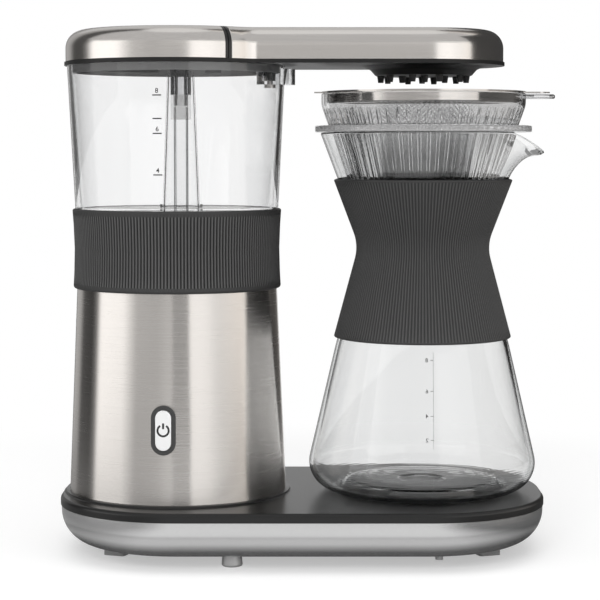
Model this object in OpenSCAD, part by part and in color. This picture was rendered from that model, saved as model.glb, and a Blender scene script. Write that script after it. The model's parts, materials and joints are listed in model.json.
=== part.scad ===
// Pour-over coffee maker: a steel tower with a clear water tank, an overhead shower arm
// and an hourglass carafe that carries a clear dripper with a mesh filter.
// Millimetres, +Z up, the front faces -Y. The origin is on the table, under the middle of the outline.

/* [Base] */
// Depth of the base from front to back
base_d = 186; // [184:1:230]
// Radius of the base's corners in plan
base_corner_r = 80; // [60:1:88]
// Height of the painted shell
shell_h = 25.5; // [24:0.5:34]
// Radius of the shell's lower edge
shell_edge_r = 22; // [14:0.5:23]
// Wall of the shell
shell_wall = 2.5; // [1.5:0.1:4]
// Height of the dark deck above the shell
deck_h = 6; // [4:0.1:9]
// Thickness of the deck's top
deck_t = 3; // [2:0.1:3.8]
// Radius of the deck's upper edge
deck_edge_r = 2.4; // [1:0.1:3]
// How far the deck stands proud of the shell
deck_proud = 0.6; // [0.2:0.1:1.5]
// Width of the lip that the bottom plate is screwed to
lip_w = 12; // [10:0.5:16]
// Thickness of the bottom plate
bottom_t = 2.5; // [1.5:0.1:4]
// Height of the feet
foot_h = 8.5; // [6:0.5:14]
// Length of a pad foot
pad_l = 15; // [10:0.5:20]
// Width of a pad foot
pad_w = 9; // [6:0.5:12]
// Diameter of a round foot
foot_d = 14; // [10:0.5:18]
// Bore of the cord gland
gland_bore = 7; // [5:0.5:9]

/* [Layout] */
// Gap between the tower and the carafe
bay_gap = 15.8; // [13:0.1:30]
// Margin between the tower and the base's left end
tower_margin = 4.2; // [3:0.1:12]
// Margin between the carafe and the base's right end
carafe_margin = 3.8; // [3:0.1:12]

/* [Tower] */
// Radius of the steel jacket at its foot
tower_r = 73; // [70:0.5:80]
// Radius of the steel jacket at its upper edge
tower_top_r = 66.2; // [62:0.2:68]
// Height of the steel jacket
tower_h = 159; // [140:1:190]
// Thickness of the sheet steel
steel_t = 0.8; // [0.5:0.1:1.5]
// Height of the black ring under the jacket
plinth_h = 1.5; // [1.2:0.1:5]
// How far the ring flares out onto the deck
plinth_flare = 4; // [2:0.1:4.5]
// Height of the ribbed rubber sleeve
sleeve_h = 53; // [42:0.5:56]
// Thickness of the rubber sleeve at its ends
sleeve_t = 2.6; // [1.8:0.1:4]
// How far the sleeve draws in at its middle
sleeve_waist = 0.9; // [0:0.1:1.2]

/* [Tank] */
// Outer radius of the tank at the top of the sleeve
tank_r = 68; // [68:0.1:71]
// Outer radius of the tank at its rim
tank_top_r = 72.7; // [71:0.1:75]
// Height of the clear part of the tank
tank_h = 94.5; // [80:0.5:130]
// Wall of the tank
tank_wall = 2.4; // [1.6:0.1:3]
// Height of the tank's foot inside the sleeve
tank_foot_h = 25; // [18:0.5:28]
// Thickness of the metal tank floor
floor_t = 1.5; // [0.8:0.1:2.5]
// Distance of the riser behind the tank's axis
riser_y = 46; // [36:0.5:47]
// Outer diameter of the riser tube
riser_d = 10; // [8:0.2:11]
// Radius of the riser's clear shroud at its foot
shroud_r = 13; // [12:0.2:14]
// Radius of the shroud at its top
shroud_top_r = 9.4; // [9.2:0.1:10.5]

/* [Top] */
// Thickness of the black housing under the steel caps
rim_t = 2.4; // [1.8:0.1:4]
// Height of the steel caps
cap_h = 21; // [20:0.2:30]
// Radius of the caps' upper edge
cap_edge_r = 12; // [4:0.5:14]
// How far the caps stand out past the tank's rim
cap_proud = 0.9; // [0.4:0.1:2]
// How far the housing stands out past the caps
rim_proud = 0.9; // [0.2:0.1:1.2]
// Half width of the arm
arm_half_w = 53; // [46:0.5:56]
// Radius of the inner corners where the arm leaves the tank
arm_fillet_r = 15; // [8:0.5:20]
// Radius of the seam between the lid and the arm, about the shower
seam_r = 142.7; // [138:0.1:148]
// Width of the black edging on each side of the seam
trim_w = 2; // [1:0.1:3]
// Open gap of the seam
seam_gap = 0.6; // [0.4:0.1:1.2]
// Radius of the filling opening under the lid
fill_r = 63; // [56:0.5:65]
// Depth of the housing's skirt inside the tank
skirt_h = 5; // [3:0.5:8]

/* [Shower] */
// Radius of the shower dish at the arm
dish_r = 41; // [36:0.5:44]
// Radius of the shower dish at its face
dish_face_r = 32; // [31.5:0.1:33]
// Depth of the shower dish below the arm
dish_h = 6.5; // [5:0.1:9]
// Length of a nozzle below the dish
nozzle_h = 4.5; // [3:0.1:6]
// Diameter of a nozzle
nozzle_d = 5; // [4:0.1:6]
// Radius of the outer ring of nozzles
nozzle_ring_r = 28.5; // [26:0.1:28.9]
// Radius of the inner ring of nozzles
nozzle_inner_r = 14.2; // [10:0.1:18]

/* [Carafe] */
// Virtual corner radius of the bowl, before its edge is rounded
bowl_r = 81.2; // [78:0.1:86]
// Radius of the bowl's lower edge
bowl_edge_r = 19; // [16:0.5:26]
// Height of the bowl's shoulder
shoulder_h = 98; // [80:1:110]
// Radius at the bowl's shoulder
shoulder_r = 58.4; // [54:0.1:62]
// Height of the waist
waist_h = 165.2; // [150:0.2:175]
// Virtual radius of the waist, before it is rounded
waist_r = 40.4; // [38:0.1:44]
// Radius of the waist's curve
waist_curve_r = 31; // [20:1:40]
// Radius of the glass at its rim
rim_r = 69; // [67:0.1:71]
// Thickness of the glass
glass_t = 2.5; // [1.8:0.1:3]
// How far the spout reaches past the rim
spout_reach = 12.4; // [6:0.1:16]
// How far the spout's lip drops below the rim
spout_drop = 12.5; // [6:0.1:15]
// Half angle of the spout
spout_angle = 40; // [28:1:50]
// Height of the glass that the spout is drawn from
spout_h = 32; // [24:1:40]
// Height of the sleeve's lower edge above the carafe's foot
grip_low_h = 103; // [100:1:130]
// Height of the carafe's silicone sleeve
grip_h = 107; // [80:1:112]
// Thickness of the carafe's silicone sleeve
grip_t = 2.4; // [1.6:0.1:3.2]

/* [Dripper] */
// Outer radius of the dripper's bowl at its rim
dripper_r = 68.2; // [67.5:0.1:70]
// Outer radius of the bowl where it meets the flange
dripper_neck_r = 63.4; // [62.4:0.1:64.5]
// Radius of the flange that rests on the glass
flange_r = 72.3; // [70:0.1:74]
// Thickness of the flange
flange_t = 4; // [2.5:0.1:6]
// Height of the dripper's bowl above the flange
dripper_bowl_h = 21.5; // [18:0.5:26]
// Outer radius of the dripper's cone at the flange
cone_r = 61; // [59:0.1:62]
// Outer radius of the dripper's cone at its floor
cone_low_r = 43.6; // [40:0.1:44]
// Height of the cone's floor over the carafe's waist
cone_over_waist = 23.8; // [20:0.2:34]
// Wall of the dripper
dripper_wall = 2; // [1.5:0.1:2.6]
// Number of ribs round the dripper
rib_n = 60; // [36:1:72]
// Height of a rib above the wall
rib_t = 0.9; // [0.5:0.1:1.2]
// Width of a rib
rib_w = 1.8; // [1.2:0.1:2.4]
// Reach of the dripper's handle from the axis
handle_reach = 88; // [82:0.5:89]
// Width of the dripper's handle
handle_w = 24; // [16:1:30]

/* [Filter] */
// Outer radius of the filter's rim
filter_rim_r = 68.3; // [67.6:0.1:69.5]
// Thickness of the filter's rim and band
filter_t = 0.9; // [0.6:0.1:1.2]
// Height of the filter's solid band
band_h = 6; // [4:0.5:9]
// Radius of the filter cone at its floor
filter_low_r = 33; // [28:0.5:35]
// Height of the filter's floor over the cone's floor
filter_over_cone = 8.7; // [6:0.1:20]
// Reach of the filter's long tab from the axis
tab_reach = 84.5; // [80:0.5:86]

/* [Button] */
// Height of the button above the deck
button_h = 50; // [40:1:90]
// Angle of the button round the tower, from the front
button_turn = -4; // [-10:0.5:10]
// Width of the button's bezel
bezel_w = 16; // [14:0.5:20]
// Length of the button's bezel
bezel_l = 32; // [28:0.5:38]
// Width of the button
button_w = 10.2; // [8:0.1:11]
// Length of the button
button_l = 25.8; // [22:0.1:26]
// Travel of the button
button_travel = 1.5; // [1:0.1:2]

/* [Fits] */
// Gap between fixed pieces that slip together
slip = 0.15; // [0.1:0.05:0.3]
// Gap between pieces that move or lift apart
clear = 0.3; // [0.25:0.05:0.5]

/* [Hidden] */
$fn = 96;
arc_step = 7;
push_fit = slip / 3;
bowl_lean = atan2(bowl_r - shoulder_r, shoulder_h);
carafe_wide_r = round(100 * (bowl_r - bowl_edge_r / tan(45 - bowl_lean / 2) + bowl_edge_r)) / 100;
base_w = tower_margin + 2 * tower_r + bay_gap + 2 * carafe_wide_r + carafe_margin;
carafe_from_mid = base_w / 2 - carafe_margin - carafe_wide_r;
base_x = (base_w / 2 - (carafe_from_mid + handle_reach)) / 2;
tower_x = base_x - (base_w / 2 - tower_margin - tower_r);
carafe_x = base_x + carafe_from_mid;
arm_l = carafe_x - tower_x;

z_rimline = foot_h + shell_h;
z_deck = z_rimline + deck_h;
z_tower = z_deck + plinth_h;
z_collar = z_tower + tower_h;
collar_flange_h = 5;
z_tank = z_collar + collar_flange_h;
z_shoulder = z_tank + tank_foot_h;
z_sleeve = z_shoulder - clear - sleeve_h;
z_rim = z_shoulder + tank_h;
z_cap = z_rim + rim_t;
z_top = z_cap + cap_h;
z_dish = z_rim - dish_h;
z_nozzle = z_dish - nozzle_h;
z_carafe = z_deck + clear;
shower_room = 6;
z_filter = z_nozzle - shower_room;
z_flange = z_filter - filter_t - clear - dripper_bowl_h - flange_t;
z_glass = z_flange - clear;
carafe_h = z_glass - z_carafe;

cap_r = tank_top_r + cap_proud;
sleeve_in_r = jacket_r(z_sleeve) + slip;
tank_foot_r = sleeve_in_r - slip;
tank_in_r = tank_foot_r - tank_wall;
riser_angle = atan2(riser_y, -arm_l);

black = [0.07, 0.07, 0.075];
rubber_grey = [0.2, 0.2, 0.21];
steel = [0.72, 0.71, 0.68];
silver = [0.75, 0.75, 0.74];
clear_tint = [0.85, 0.9, 0.92, 0.35];
dark_grey = [0.25, 0.25, 0.26];
alu = [0.78, 0.79, 0.8];
hose_white = [0.85, 0.83, 0.78];
board_green = [0.1, 0.35, 0.18];
foot_tint = [0.85, 0.86, 0.86];
ceramic = [0.9, 0.88, 0.8];

// Outlines made of straight runs and arcs

function unit(v) = v / norm(v);
function flat(p) = [p.x, p.y];
function wrap(a) = a > 180 ? a - 360 : a < -180 ? a + 360 : a;
function backwards(list) = [for (i = [len(list) - 1:-1:0]) list[i]];
function after_first(list) = [for (i = [1:len(list) - 1]) list[i]];
function smooth(t) = let (k = min(max(t, 0), 1)) k * k * (3 - 2 * k);

// Points of an arc about c from angle a0 to a1
function arc(c, r, a0, a1, n) =
    [for (i = [0:n]) let (a = a0 + (a1 - a0) * i / n) c + r * [cos(a), sin(a)]];

// The corner at p between a and b, rounded by r in turns of at most step degrees
function corner(a, p, b, r, step) =
    r == 0 ? [p] :
    let (u = unit(a - p),
         w = unit(b - p),
         half = acos(u * w) / 2,
         c = p + unit(u + w) * r / sin(half),
         s = p + u * r / tan(half) - c,
         e = p + w * r / tan(half) - c,
         a0 = atan2(s.y, s.x),
         sweep = wrap(atan2(e.y, e.x) - a0),
         n = max(2, ceil(abs(sweep) / step)))
    arc(c, r, a0, a0 + sweep, n);

// A closed outline of [x, y, corner radius] points
function rounded(pts, step = arc_step) =
    let (n = len(pts))
    [for (i = [0:n - 1])
        each corner(flat(pts[(i + n - 1) % n]), flat(pts[i]), flat(pts[(i + 1) % n]), pts[i].z, step)];

// An open path of [x, y, corner radius] points
function rounded_path(pts, step = arc_step) =
    let (m = len(pts) - 1)
    [for (i = [0:m])
        each (i == 0 || i == m) ? [flat(pts[i])]
            : corner(flat(pts[i - 1]), flat(pts[i]), flat(pts[i + 1]), pts[i].z, step)];

// The side to the right of the way from a to b
function right_of(a, b) = let (d = unit(b - a)) [d.y, -d.x];

// A path moved by t to the left of its direction, with its corner radii following
function moved(pts, t) =
    let (m = len(pts) - 1)
    [for (i = [0:m])
        let (p = flat(pts[i]),
             n0 = i > 0 ? right_of(flat(pts[i - 1]), p) : right_of(p, flat(pts[1])),
             n1 = i < m ? right_of(p, flat(pts[i + 1])) : n0,
             q = p - t * (n0 + n1) / (1 + n0 * n1),
             r = pts[i].z)
        [q.x, q.y, r == 0 ? 0 : r - sign(cross(n0, n1)) * t]];

// Radius of the jacket's outside at height z
function jacket_r(z) = tower_r - (tower_r - tower_top_r) * (z - z_tower) / tower_h;

// Placing

module at_base() { translate([base_x, 0, 0]) children(); }
module at_tower(z = 0) { translate([tower_x, 0, z]) children(); }
module at_carafe(z = 0) { translate([carafe_x, 0, z]) children(); }
module at_riser(z = 0) { translate([tower_x, riser_y, z]) children(); }

// The four quarters of the plan
module quarters() { for (sx = [0, 1], sy = [0, 1]) mirror([sx, 0, 0]) mirror([0, sy, 0]) children(); }

// A pill standing along Y
module pill(w, l) {
    square([w, l - w], center = true);
    for (s = [-1, 1]) translate([0, s * (l - w) / 2]) circle(d = w);
}

// A round tube standing on z = 0
module tube(ro, ri, h) {
    difference() {
        cylinder(r = ro, h = h);
        translate([0, 0, -1]) cylinder(r = ri, h = h + 2);
    }
}

// The base

corner_x = base_w / 2 - base_corner_r;
corner_y = base_d / 2 - base_corner_r;

// A section carried round the base's plan, with x measured from the corner's centre
module round_base(section) {
    at_base() {
        quarters() translate([corner_x, corner_y, 0]) rotate_extrude(angle = 90) polygon(section);
        for (s = [0, 1]) {
            mirror([0, s, 0]) translate([-corner_x, corner_y, 0])
                rotate([90, 0, 90]) linear_extrude(2 * corner_x) polygon(section);
            mirror([s, 0, 0]) translate([corner_x, corner_y, 0])
                rotate([90, 0, 0]) linear_extrude(2 * corner_y) polygon(section);
        }
    }
}

// The base's plan, drawn in by d
function base_plan(d) = rounded([
    for (q = [[1, 1], [-1, 1], [-1, -1], [1, -1]])
        [q.x * (base_w / 2 - d), q.y * (base_d / 2 - d), base_corner_r - d]
]);

lip_top = foot_h + 2 * bottom_t;
lip_in = shell_edge_r + 4;
lip_fillet_r = shell_edge_r - 8;
post_d = 9;
screw_d = 3.6;
screw_hole_d = 3;
screw_bite = 8;
base_posts = [
    for (sx = [-1, 1], sy = [-1, 1]) [sx * corner_x, sy * (base_d / 2 - lip_in - lip_w / 2)],
    for (sx = [-1, 1]) [sx * (base_w / 2 - lip_in - lip_w / 2), 0]
];

gland_d = 12;
deck_spigot_h = 4;
gland_under_deck = 0.5;
gland_z = z_rimline - deck_spigot_h - gland_under_deck - gland_d / 2;

module at_gland() { at_tower(gland_z) translate([0, base_d / 2, 0]) rotate([90, 0, 0]) children(); }

module base_shell() {
    r = base_corner_r;
    section = rounded([
        [r - lip_in, foot_h, 0],
        [r, foot_h, shell_edge_r],
        [r, z_rimline, 0],
        [r - shell_wall, z_rimline, 0],
        [r - shell_wall, lip_top, lip_fillet_r],
        [r - lip_in - lip_w, lip_top, 0],
        [r - lip_in - lip_w, foot_h + bottom_t, 0],
        [r - lip_in, foot_h + bottom_t, 0]
    ]);
    color(silver) difference() {
        union() {
            round_base(section);
            at_base() for (p = base_posts) translate([p.x, p.y, lip_top - 1])
                cylinder(d = post_d, h = screw_bite + 1);
        }
        at_base() for (p = base_posts) translate([p.x, p.y, foot_h])
            cylinder(d = screw_hole_d, h = lip_top + screw_bite);
        at_gland() translate([0, 0, -gland_d]) cylinder(d = gland_d, h = 3 * gland_d);
    }
}

plate_r = 58;
plate_flange_r = 64;
plate_flange_t = 1.5;
strap_post_x = 70;
strap_t = 1.5;
strap_w = 26;
strap_end = 6;
strap_screw_d = 2.4;
strap_screw_l = 8;
plate_heater_h = 8;
z_deck_under = z_deck - deck_t;
seal_t = 2;
z_plate_flange = z_deck_under - seal_t - plate_flange_t;
z_strap = z_plate_flange - plate_heater_h - strap_t;
wire_hole_r = 22;

module base_deck() {
    r = base_corner_r;
    ring_w = 20;
    spigot_t = 2.2;
    section = rounded([
        [r - ring_w, z_deck_under, 0],
        [r - shell_wall - slip - spigot_t, z_deck_under, 0],
        [r - shell_wall - slip - spigot_t, z_rimline - deck_spigot_h, 0],
        [r - shell_wall - slip, z_rimline - deck_spigot_h, 0],
        [r - shell_wall - slip, z_rimline, 0],
        [r + deck_proud, z_rimline, 0],
        [r + deck_proud, z_deck, deck_edge_r],
        [r - ring_w, z_deck, 0]
    ]);
    color(black) difference() {
        union() {
            round_base(section);
            at_base() translate([0, 0, z_deck_under]) linear_extrude(deck_t) polygon(base_plan(ring_w - 1));
            for (s = [-1, 1]) at_carafe(z_strap + strap_t) translate([s * strap_post_x, 0, 0])
                cylinder(d = post_d, h = z_deck_under - z_strap - strap_t + 1);
        }
        at_carafe(0) cylinder(r = plate_r + clear, h = z_deck + 1);
        at_tower(0) cylinder(r = wire_hole_r, h = z_deck + 1);
        for (s = [-1, 1]) at_carafe(z_strap) translate([s * strap_post_x, 0, 0])
            cylinder(d = strap_screw_d + 2 * slip, h = strap_screw_l + 1);
    }
}

module bottom_plate() {
    vent_l = 26;
    vent_w = 4;
    color(dark_grey) difference() {
        at_base() translate([0, 0, foot_h]) linear_extrude(bottom_t) polygon(base_plan(lip_in + slip));
        at_base() for (p = base_posts) translate([p.x, p.y, foot_h - 1])
            cylinder(d = screw_d, h = bottom_t + 2);
        for (i = [-2:2]) at_carafe(foot_h - 1) translate([i * 3 * vent_w, 0, 0])
            linear_extrude(bottom_t + 2) pill(vent_w, vent_l);
    }
}

module base_screws() {
    head_d = 6.5;
    head_h = 1.8;
    color(alu) at_base() for (p = base_posts) translate([p.x, p.y, foot_h - head_h]) {
        cylinder(d = head_d, h = head_h);
        cylinder(d = screw_hole_d - 2 * slip, h = head_h + lip_top - foot_h + screw_bite - 1);
    }
}

pad_in = 37.17;
pad_x = base_w / 2 - pad_in;
pad_y = 26;
pad_turn = 20;
pad_corner_r = 2;

module pad_feet() {
    plan = rounded([
        for (q = [[1, 1], [-1, 1], [-1, -1], [1, -1]]) [q.x * pad_l / 2, q.y * pad_w / 2, pad_corner_r]
    ], 15);
    color(foot_tint) at_base() quarters() translate([pad_x, pad_y, 0]) rotate([0, 0, -pad_turn])
        linear_extrude(foot_h) polygon(plan);
}

round_foot_x = -45.5;
round_foot_in = 32;
round_foot_y = base_d / 2 - round_foot_in;
stud_x = 89;
stud_in = 33;
stud_y = base_d / 2 - stud_in;
stud_d = 5;
stud_h = 4.5;

module round_feet() {
    edge_r = 1.5;
    taper = 0.8;
    foot = rounded([[0, 0, 0], [foot_d / 2, 0, edge_r], [foot_d / 2 - taper, foot_h, 0], [0, foot_h, 0]]);
    color(foot_tint) at_base() {
        for (s = [-1, 1]) translate([round_foot_x, s * round_foot_y, 0]) rotate_extrude() polygon(foot);
        translate([stud_x, -stud_y, foot_h - stud_h]) cylinder(d = stud_d, h = stud_h);
    }
}

module cord_gland() {
    flange_d = gland_d + 5;
    flange_h = 2;
    length = 13;
    proud = 0.4;
    color(black) at_gland() difference() {
        union() {
            translate([0, 0, -proud]) cylinder(d = gland_d - 2 * slip, h = length + proud);
            translate([0, 0, length - flange_h]) cylinder(d = flange_d, h = flange_h);
        }
        translate([0, 0, -2]) cylinder(d = gland_bore, h = length + 4);
    }
}

// The warming plate

module warming_plate() {
    color(dark_grey) at_carafe(z_plate_flange) {
        cylinder(r = plate_flange_r, h = plate_flange_t);
        cylinder(r = plate_r, h = z_deck - z_plate_flange);
    }
}

module plate_seal() {
    color(rubber_grey) at_carafe(z_plate_flange + plate_flange_t)
        tube(plate_flange_r, plate_r + clear, seal_t);
}

module plate_heater() {
    ring_r = 42;
    w = 11;
    split = 30;
    color(alu) at_carafe(z_plate_flange - plate_heater_h) rotate([0, 0, 90 + split / 2])
        rotate_extrude(angle = 360 - split) translate([ring_r - w / 2, 0]) square([w, plate_heater_h]);
}

cutout_r = 8.5;

// The two flat terminals that stand on a thermostat
module blades() {
    w = 6;
    t = 0.8;
    length = 5;
    for (s = [-1, 1]) translate([s * 5 - w / 2, -t / 2, -1]) cube([w, t, length + 1]);
}

module plate_thermostat() {
    color(ceramic) at_carafe(z_plate_flange) {
        translate([0, 0, -plate_heater_h]) cylinder(r = cutout_r, h = plate_heater_h);
        translate([0, 0, -plate_heater_h]) mirror([0, 0, 1]) blades();
    }
}

module plate_strap() {
    color(steel) difference() {
        at_carafe(z_strap) translate([-strap_post_x - strap_end, -strap_w / 2, 0])
            cube([2 * (strap_post_x + strap_end), strap_w, strap_t]);
        at_carafe(z_strap - 1) {
            cylinder(r = cutout_r + 1.5, h = strap_t + 2);
            for (s = [-1, 1]) translate([s * strap_post_x, 0, 0])
                cylinder(d = strap_screw_d + 0.8, h = strap_t + 2);
        }
    }
}

module strap_screws() {
    head_d = 5.5;
    head_h = 1.6;
    color(alu) for (s = [-1, 1]) at_carafe(z_strap - head_h) translate([s * strap_post_x, 0, 0]) {
        cylinder(d = head_d, h = head_h);
        cylinder(d = strap_screw_d, h = head_h + strap_screw_l);
    }
}

// The tower

module tower_plinth() {
    ring_w = 12;
    proud = 0.6;
    section = [
        [tower_r - ring_w, z_deck],
        [tower_r + plinth_flare, z_deck],
        each arc([tower_r + plinth_flare, z_tower], plinth_h, 260, 190, 6),
        [tower_r + proud, z_tower],
        [tower_r - ring_w, z_tower]
    ];
    color(black) at_tower() rotate_extrude() polygon(section);
}

column_r = 22;
column_d = 10;
shelf_t = 3;
z_shelf = z_collar - 50;
heater_r = riser_y;
heater_w = 22;
heater_h = 14;
standoff_h = 6;
standoff_d = 10;
z_heater = z_shelf + shelf_t + standoff_h;
spigot_r = riser_d / 2;
hose_wall = 2.5;

module tower_chassis() {
    floor_h = 3;
    wire_r = 15;
    shelf_hole_r = 12;
    color(dark_grey) at_tower() {
        difference() {
            translate([0, 0, z_tower]) cylinder(r = tower_r - steel_t - 1, h = floor_h);
            translate([0, 0, z_tower - 1]) cylinder(r = wire_r, h = floor_h + 2);
        }
        for (a = [30, 150, 270]) rotate([0, 0, a]) translate([column_r, 0, z_tower + 1])
            cylinder(d = column_d, h = z_shelf - z_tower);
        difference() {
            translate([0, 0, z_shelf]) cylinder(r = heater_r + heater_w / 2 + 3, h = shelf_t);
            translate([0, 0, z_shelf - 1]) cylinder(r = shelf_hole_r, h = shelf_t + 2);
        }
    }
}

z_button = z_deck + button_h;
jacket_lean = atan2(tower_r - tower_top_r, tower_h);

// The button's own frame: +Z out of the jacket, +Y up along it
module at_button(out = 0) {
    at_tower() rotate([0, 0, button_turn]) translate([0, -jacket_r(z_button), z_button])
        rotate([90 - jacket_lean, 0, 0]) translate([0, 0, out]) children();
}

shank_w = bezel_w - 2.4;
shank_l = bezel_l - 2.4;

module tower_jacket() {
    r = tower_r;
    rt = tower_top_r;
    color(steel) difference() {
        at_tower() rotate_extrude()
            polygon([[r - steel_t, z_tower], [r, z_tower], [rt, z_collar], [rt - steel_t, z_collar]]);
        at_button(-10) linear_extrude(20) pill(shank_w + 2 * slip, shank_l + 2 * slip);
    }
}

module tower_collar() {
    r = tower_top_r - steel_t - slip;
    spigot_h = 12;
    spigot_t = 3;
    color(black) at_tower() {
        translate([0, 0, z_collar - spigot_h]) tube(r, r - spigot_t, spigot_h + 0.5);
        translate([0, 0, z_collar]) tube(tank_foot_r, r - spigot_t - 2, collar_flange_h);
    }
}

module tower_sleeve() {
    ro = sleeve_in_r + sleeve_t;
    low_in = 0.3;
    low_edge_r = 1.8;
    top_edge_r = 1.2;
    waist_curve = 250;
    section = rounded([
        [sleeve_in_r, z_sleeve, 0],
        [ro - low_in, z_sleeve, low_edge_r],
        [ro - 2 * sleeve_waist, z_sleeve + sleeve_h / 2, waist_curve],
        [ro, z_sleeve + sleeve_h, top_edge_r],
        [sleeve_in_r, z_sleeve + sleeve_h, 0]
    ]);
    color(rubber_grey) at_tower() rotate_extrude() polygon(section);
}

// The tank

gasket_t = 1;
ledge_w = 4;
ledge_t = 2.5;
z_floor = z_shoulder - 2;
z_ledge = z_floor - gasket_t - ledge_t;
lug_z = z_rim - 12.4;
lug_h = 10.4;
lug_from = 53.4;
lug_to = 79.3;
lug_w = 16;
lug_floor = 2.5;
peg_x = 62.5;
peg_d = 7;
peg_neck_d = 4.7;
peg_head_d = 12;
peg_screw_d = 2.4;
peg_screw_l = 9;

module tank() {
    section = [
        [tank_in_r, z_tank],
        [tank_foot_r, z_tank],
        [tank_foot_r, z_shoulder],
        [tank_r, z_shoulder],
        [tank_top_r, z_rim],
        [tank_top_r - tank_wall, z_rim],
        [tank_in_r, z_floor + 3],
        [tank_in_r, z_ledge + ledge_t],
        [tank_in_r - ledge_w, z_ledge + ledge_t],
        [tank_in_r - ledge_w, z_ledge],
        [tank_in_r, z_ledge]
    ];
    color(clear_tint) difference() {
        union() {
            at_tower() rotate_extrude() polygon(section);
            at_tower(lug_z) linear_extrude(lug_h) {
                translate([lug_from + lug_w / 2, -lug_w / 2]) square([lug_to - lug_from - lug_w, lug_w]);
                translate([lug_from + lug_w / 2, 0]) circle(d = lug_w);
                translate([lug_to - lug_w / 2, 0]) circle(d = lug_w);
            }
        }
        at_tower(lug_z - 1) translate([peg_x, 0, 0]) cylinder(d = peg_screw_d + 1, h = lug_h);
        at_tower(lug_z + lug_floor) translate([peg_x, 0, 0]) cylinder(d = peg_d + 2 * slip, h = lug_h);
    }
}

inlet_x = heater_r;
inlet_r = 5;
inlet_wall = 1.2;
inlet_spigot_h = 9;

module tank_floor() {
    color(steel) difference() {
        union() {
            at_tower(z_floor) cylinder(r = tank_in_r - clear, h = floor_t);
            at_tower(z_floor - inlet_spigot_h) translate([inlet_x, 0, 0])
                cylinder(r = inlet_r, h = inlet_spigot_h + 0.5);
        }
        at_tower(z_floor - inlet_spigot_h - 1) translate([inlet_x, 0, 0])
            cylinder(r = inlet_r - inlet_wall, h = inlet_spigot_h + floor_t + 2);
        at_riser(z_floor - 1) cylinder(d = riser_d + 2 * slip, h = floor_t + 2);
    }
}

module floor_gasket() {
    color(rubber_grey) at_tower(z_floor - gasket_t)
        tube(tank_in_r - clear, tank_in_r - ledge_w + clear, gasket_t);
}

coupling_h = 17;
fitting_h = 17;
z_fitting = z_rim - fitting_h - 1;
z_coupling = z_fitting - coupling_h;
coupling_r = riser_d / 2 + hose_wall - 0.3;
z_pipe = z_cap + 9.6;
pipe_d = 7;
pipe_wall = 1.2;

module riser_tube() {
    low = 20;
    wall = 1.4;
    color(clear_tint) at_riser(z_floor - low)
        tube(riser_d / 2, riser_d / 2 - wall, z_coupling + coupling_h / 2 - z_floor + low);
}

module riser_shroud() {
    wall = 1.3;
    foot_w = 2;
    foot_t = 1.5;
    z0 = z_floor + floor_t;
    z1 = z_rim - 3;
    section = [
        [shroud_r - wall, z0],
        [shroud_r + foot_w, z0],
        [shroud_r + foot_w, z0 + foot_t],
        [shroud_r, z0 + foot_t],
        [shroud_top_r, z1],
        [shroud_top_r - wall, z1]
    ];
    color(clear_tint) at_riser() rotate_extrude() polygon(section);
}

module riser_coupling() {
    color(hose_white) at_riser(z_coupling) tube(coupling_r, riser_d / 2 + push_fit, coupling_h);
}

// Along the straight line from the riser to the shower, at the pipe's height
module along_pipe() { at_riser(z_pipe) rotate([0, 0, riser_angle - 180]) rotate([0, 90, 0]) children(); }
pipe_span = norm([arm_l, riser_y]);
pipe_spigot = 16;
bridge_w = 30;

module riser_fitting() {
    r = coupling_r;
    flange_w = 4;
    flange_h = 2;
    wall = 1.8;
    color(dark_grey) difference() {
        union() {
            at_riser(z_fitting - coupling_h / 2 + 1) cylinder(d = riser_d, h = coupling_h);
            at_riser(z_fitting) cylinder(r = r, h = z_pipe + r - z_fitting);
            at_riser(z_cap) cylinder(r = r + flange_w, h = flange_h);
            along_pipe() cylinder(d = pipe_d, h = pipe_spigot);
        }
        at_riser(z_fitting - coupling_h)
            cylinder(d = riser_d - 2 * wall, h = z_pipe - z_fitting + coupling_h);
        along_pipe() cylinder(d = pipe_d - 2 * pipe_wall, h = pipe_spigot + 1);
    }
}

// Under the tank

valve_r = 8;
valve_h = 26;
z_valve = z_floor - valve_h - 1;
valve_spigot_h = 9;
ball_d = 7;
ball_lift = 2;
chamber_r = ball_d / 2 + 0.8;
chamber_h = ball_d + ball_lift + 2 * clear;
seat_h = 6;
valve_way_r = 2.6;
z_ball = z_valve + seat_h;

module at_inlet(z = 0) { at_tower(z) translate([inlet_x, 0, 0]) children(); }

module inlet_valve() {
    color(hose_white) at_inlet() difference() {
        union() {
            translate([0, 0, z_valve]) cylinder(r = valve_r, h = valve_h);
            translate([0, 0, z_valve - valve_spigot_h]) cylinder(r = spigot_r, h = valve_spigot_h + 1);
        }
        translate([0, 0, z_valve + valve_h - inlet_spigot_h])
            cylinder(r = inlet_r + push_fit, h = inlet_spigot_h + 1);
        translate([0, 0, z_ball - clear]) cylinder(r = chamber_r, h = chamber_h);
        translate([0, 0, z_valve - valve_spigot_h - 1])
            cylinder(r = valve_way_r, h = valve_h + valve_spigot_h);
    }
}

module valve_ball() {
    color(steel) at_inlet(z_ball + ball_d / 2) sphere(d = ball_d);
}

spigot_h = 12;
z_spigot_top = z_heater + heater_h + spigot_h;
hose_lap = 9;
outlet_gap = 6;

module inlet_hose() {
    z0 = z_spigot_top - hose_lap;
    color(hose_white) at_inlet(z0) tube(spigot_r + hose_wall, spigot_r + push_fit, z_valve - z0 - slip);
}

module outlet_hose() {
    z0 = z_spigot_top - hose_lap;
    color(hose_white) at_riser(z0) tube(spigot_r + hose_wall, spigot_r + push_fit, z_floor - outlet_gap - z0);
}

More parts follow.
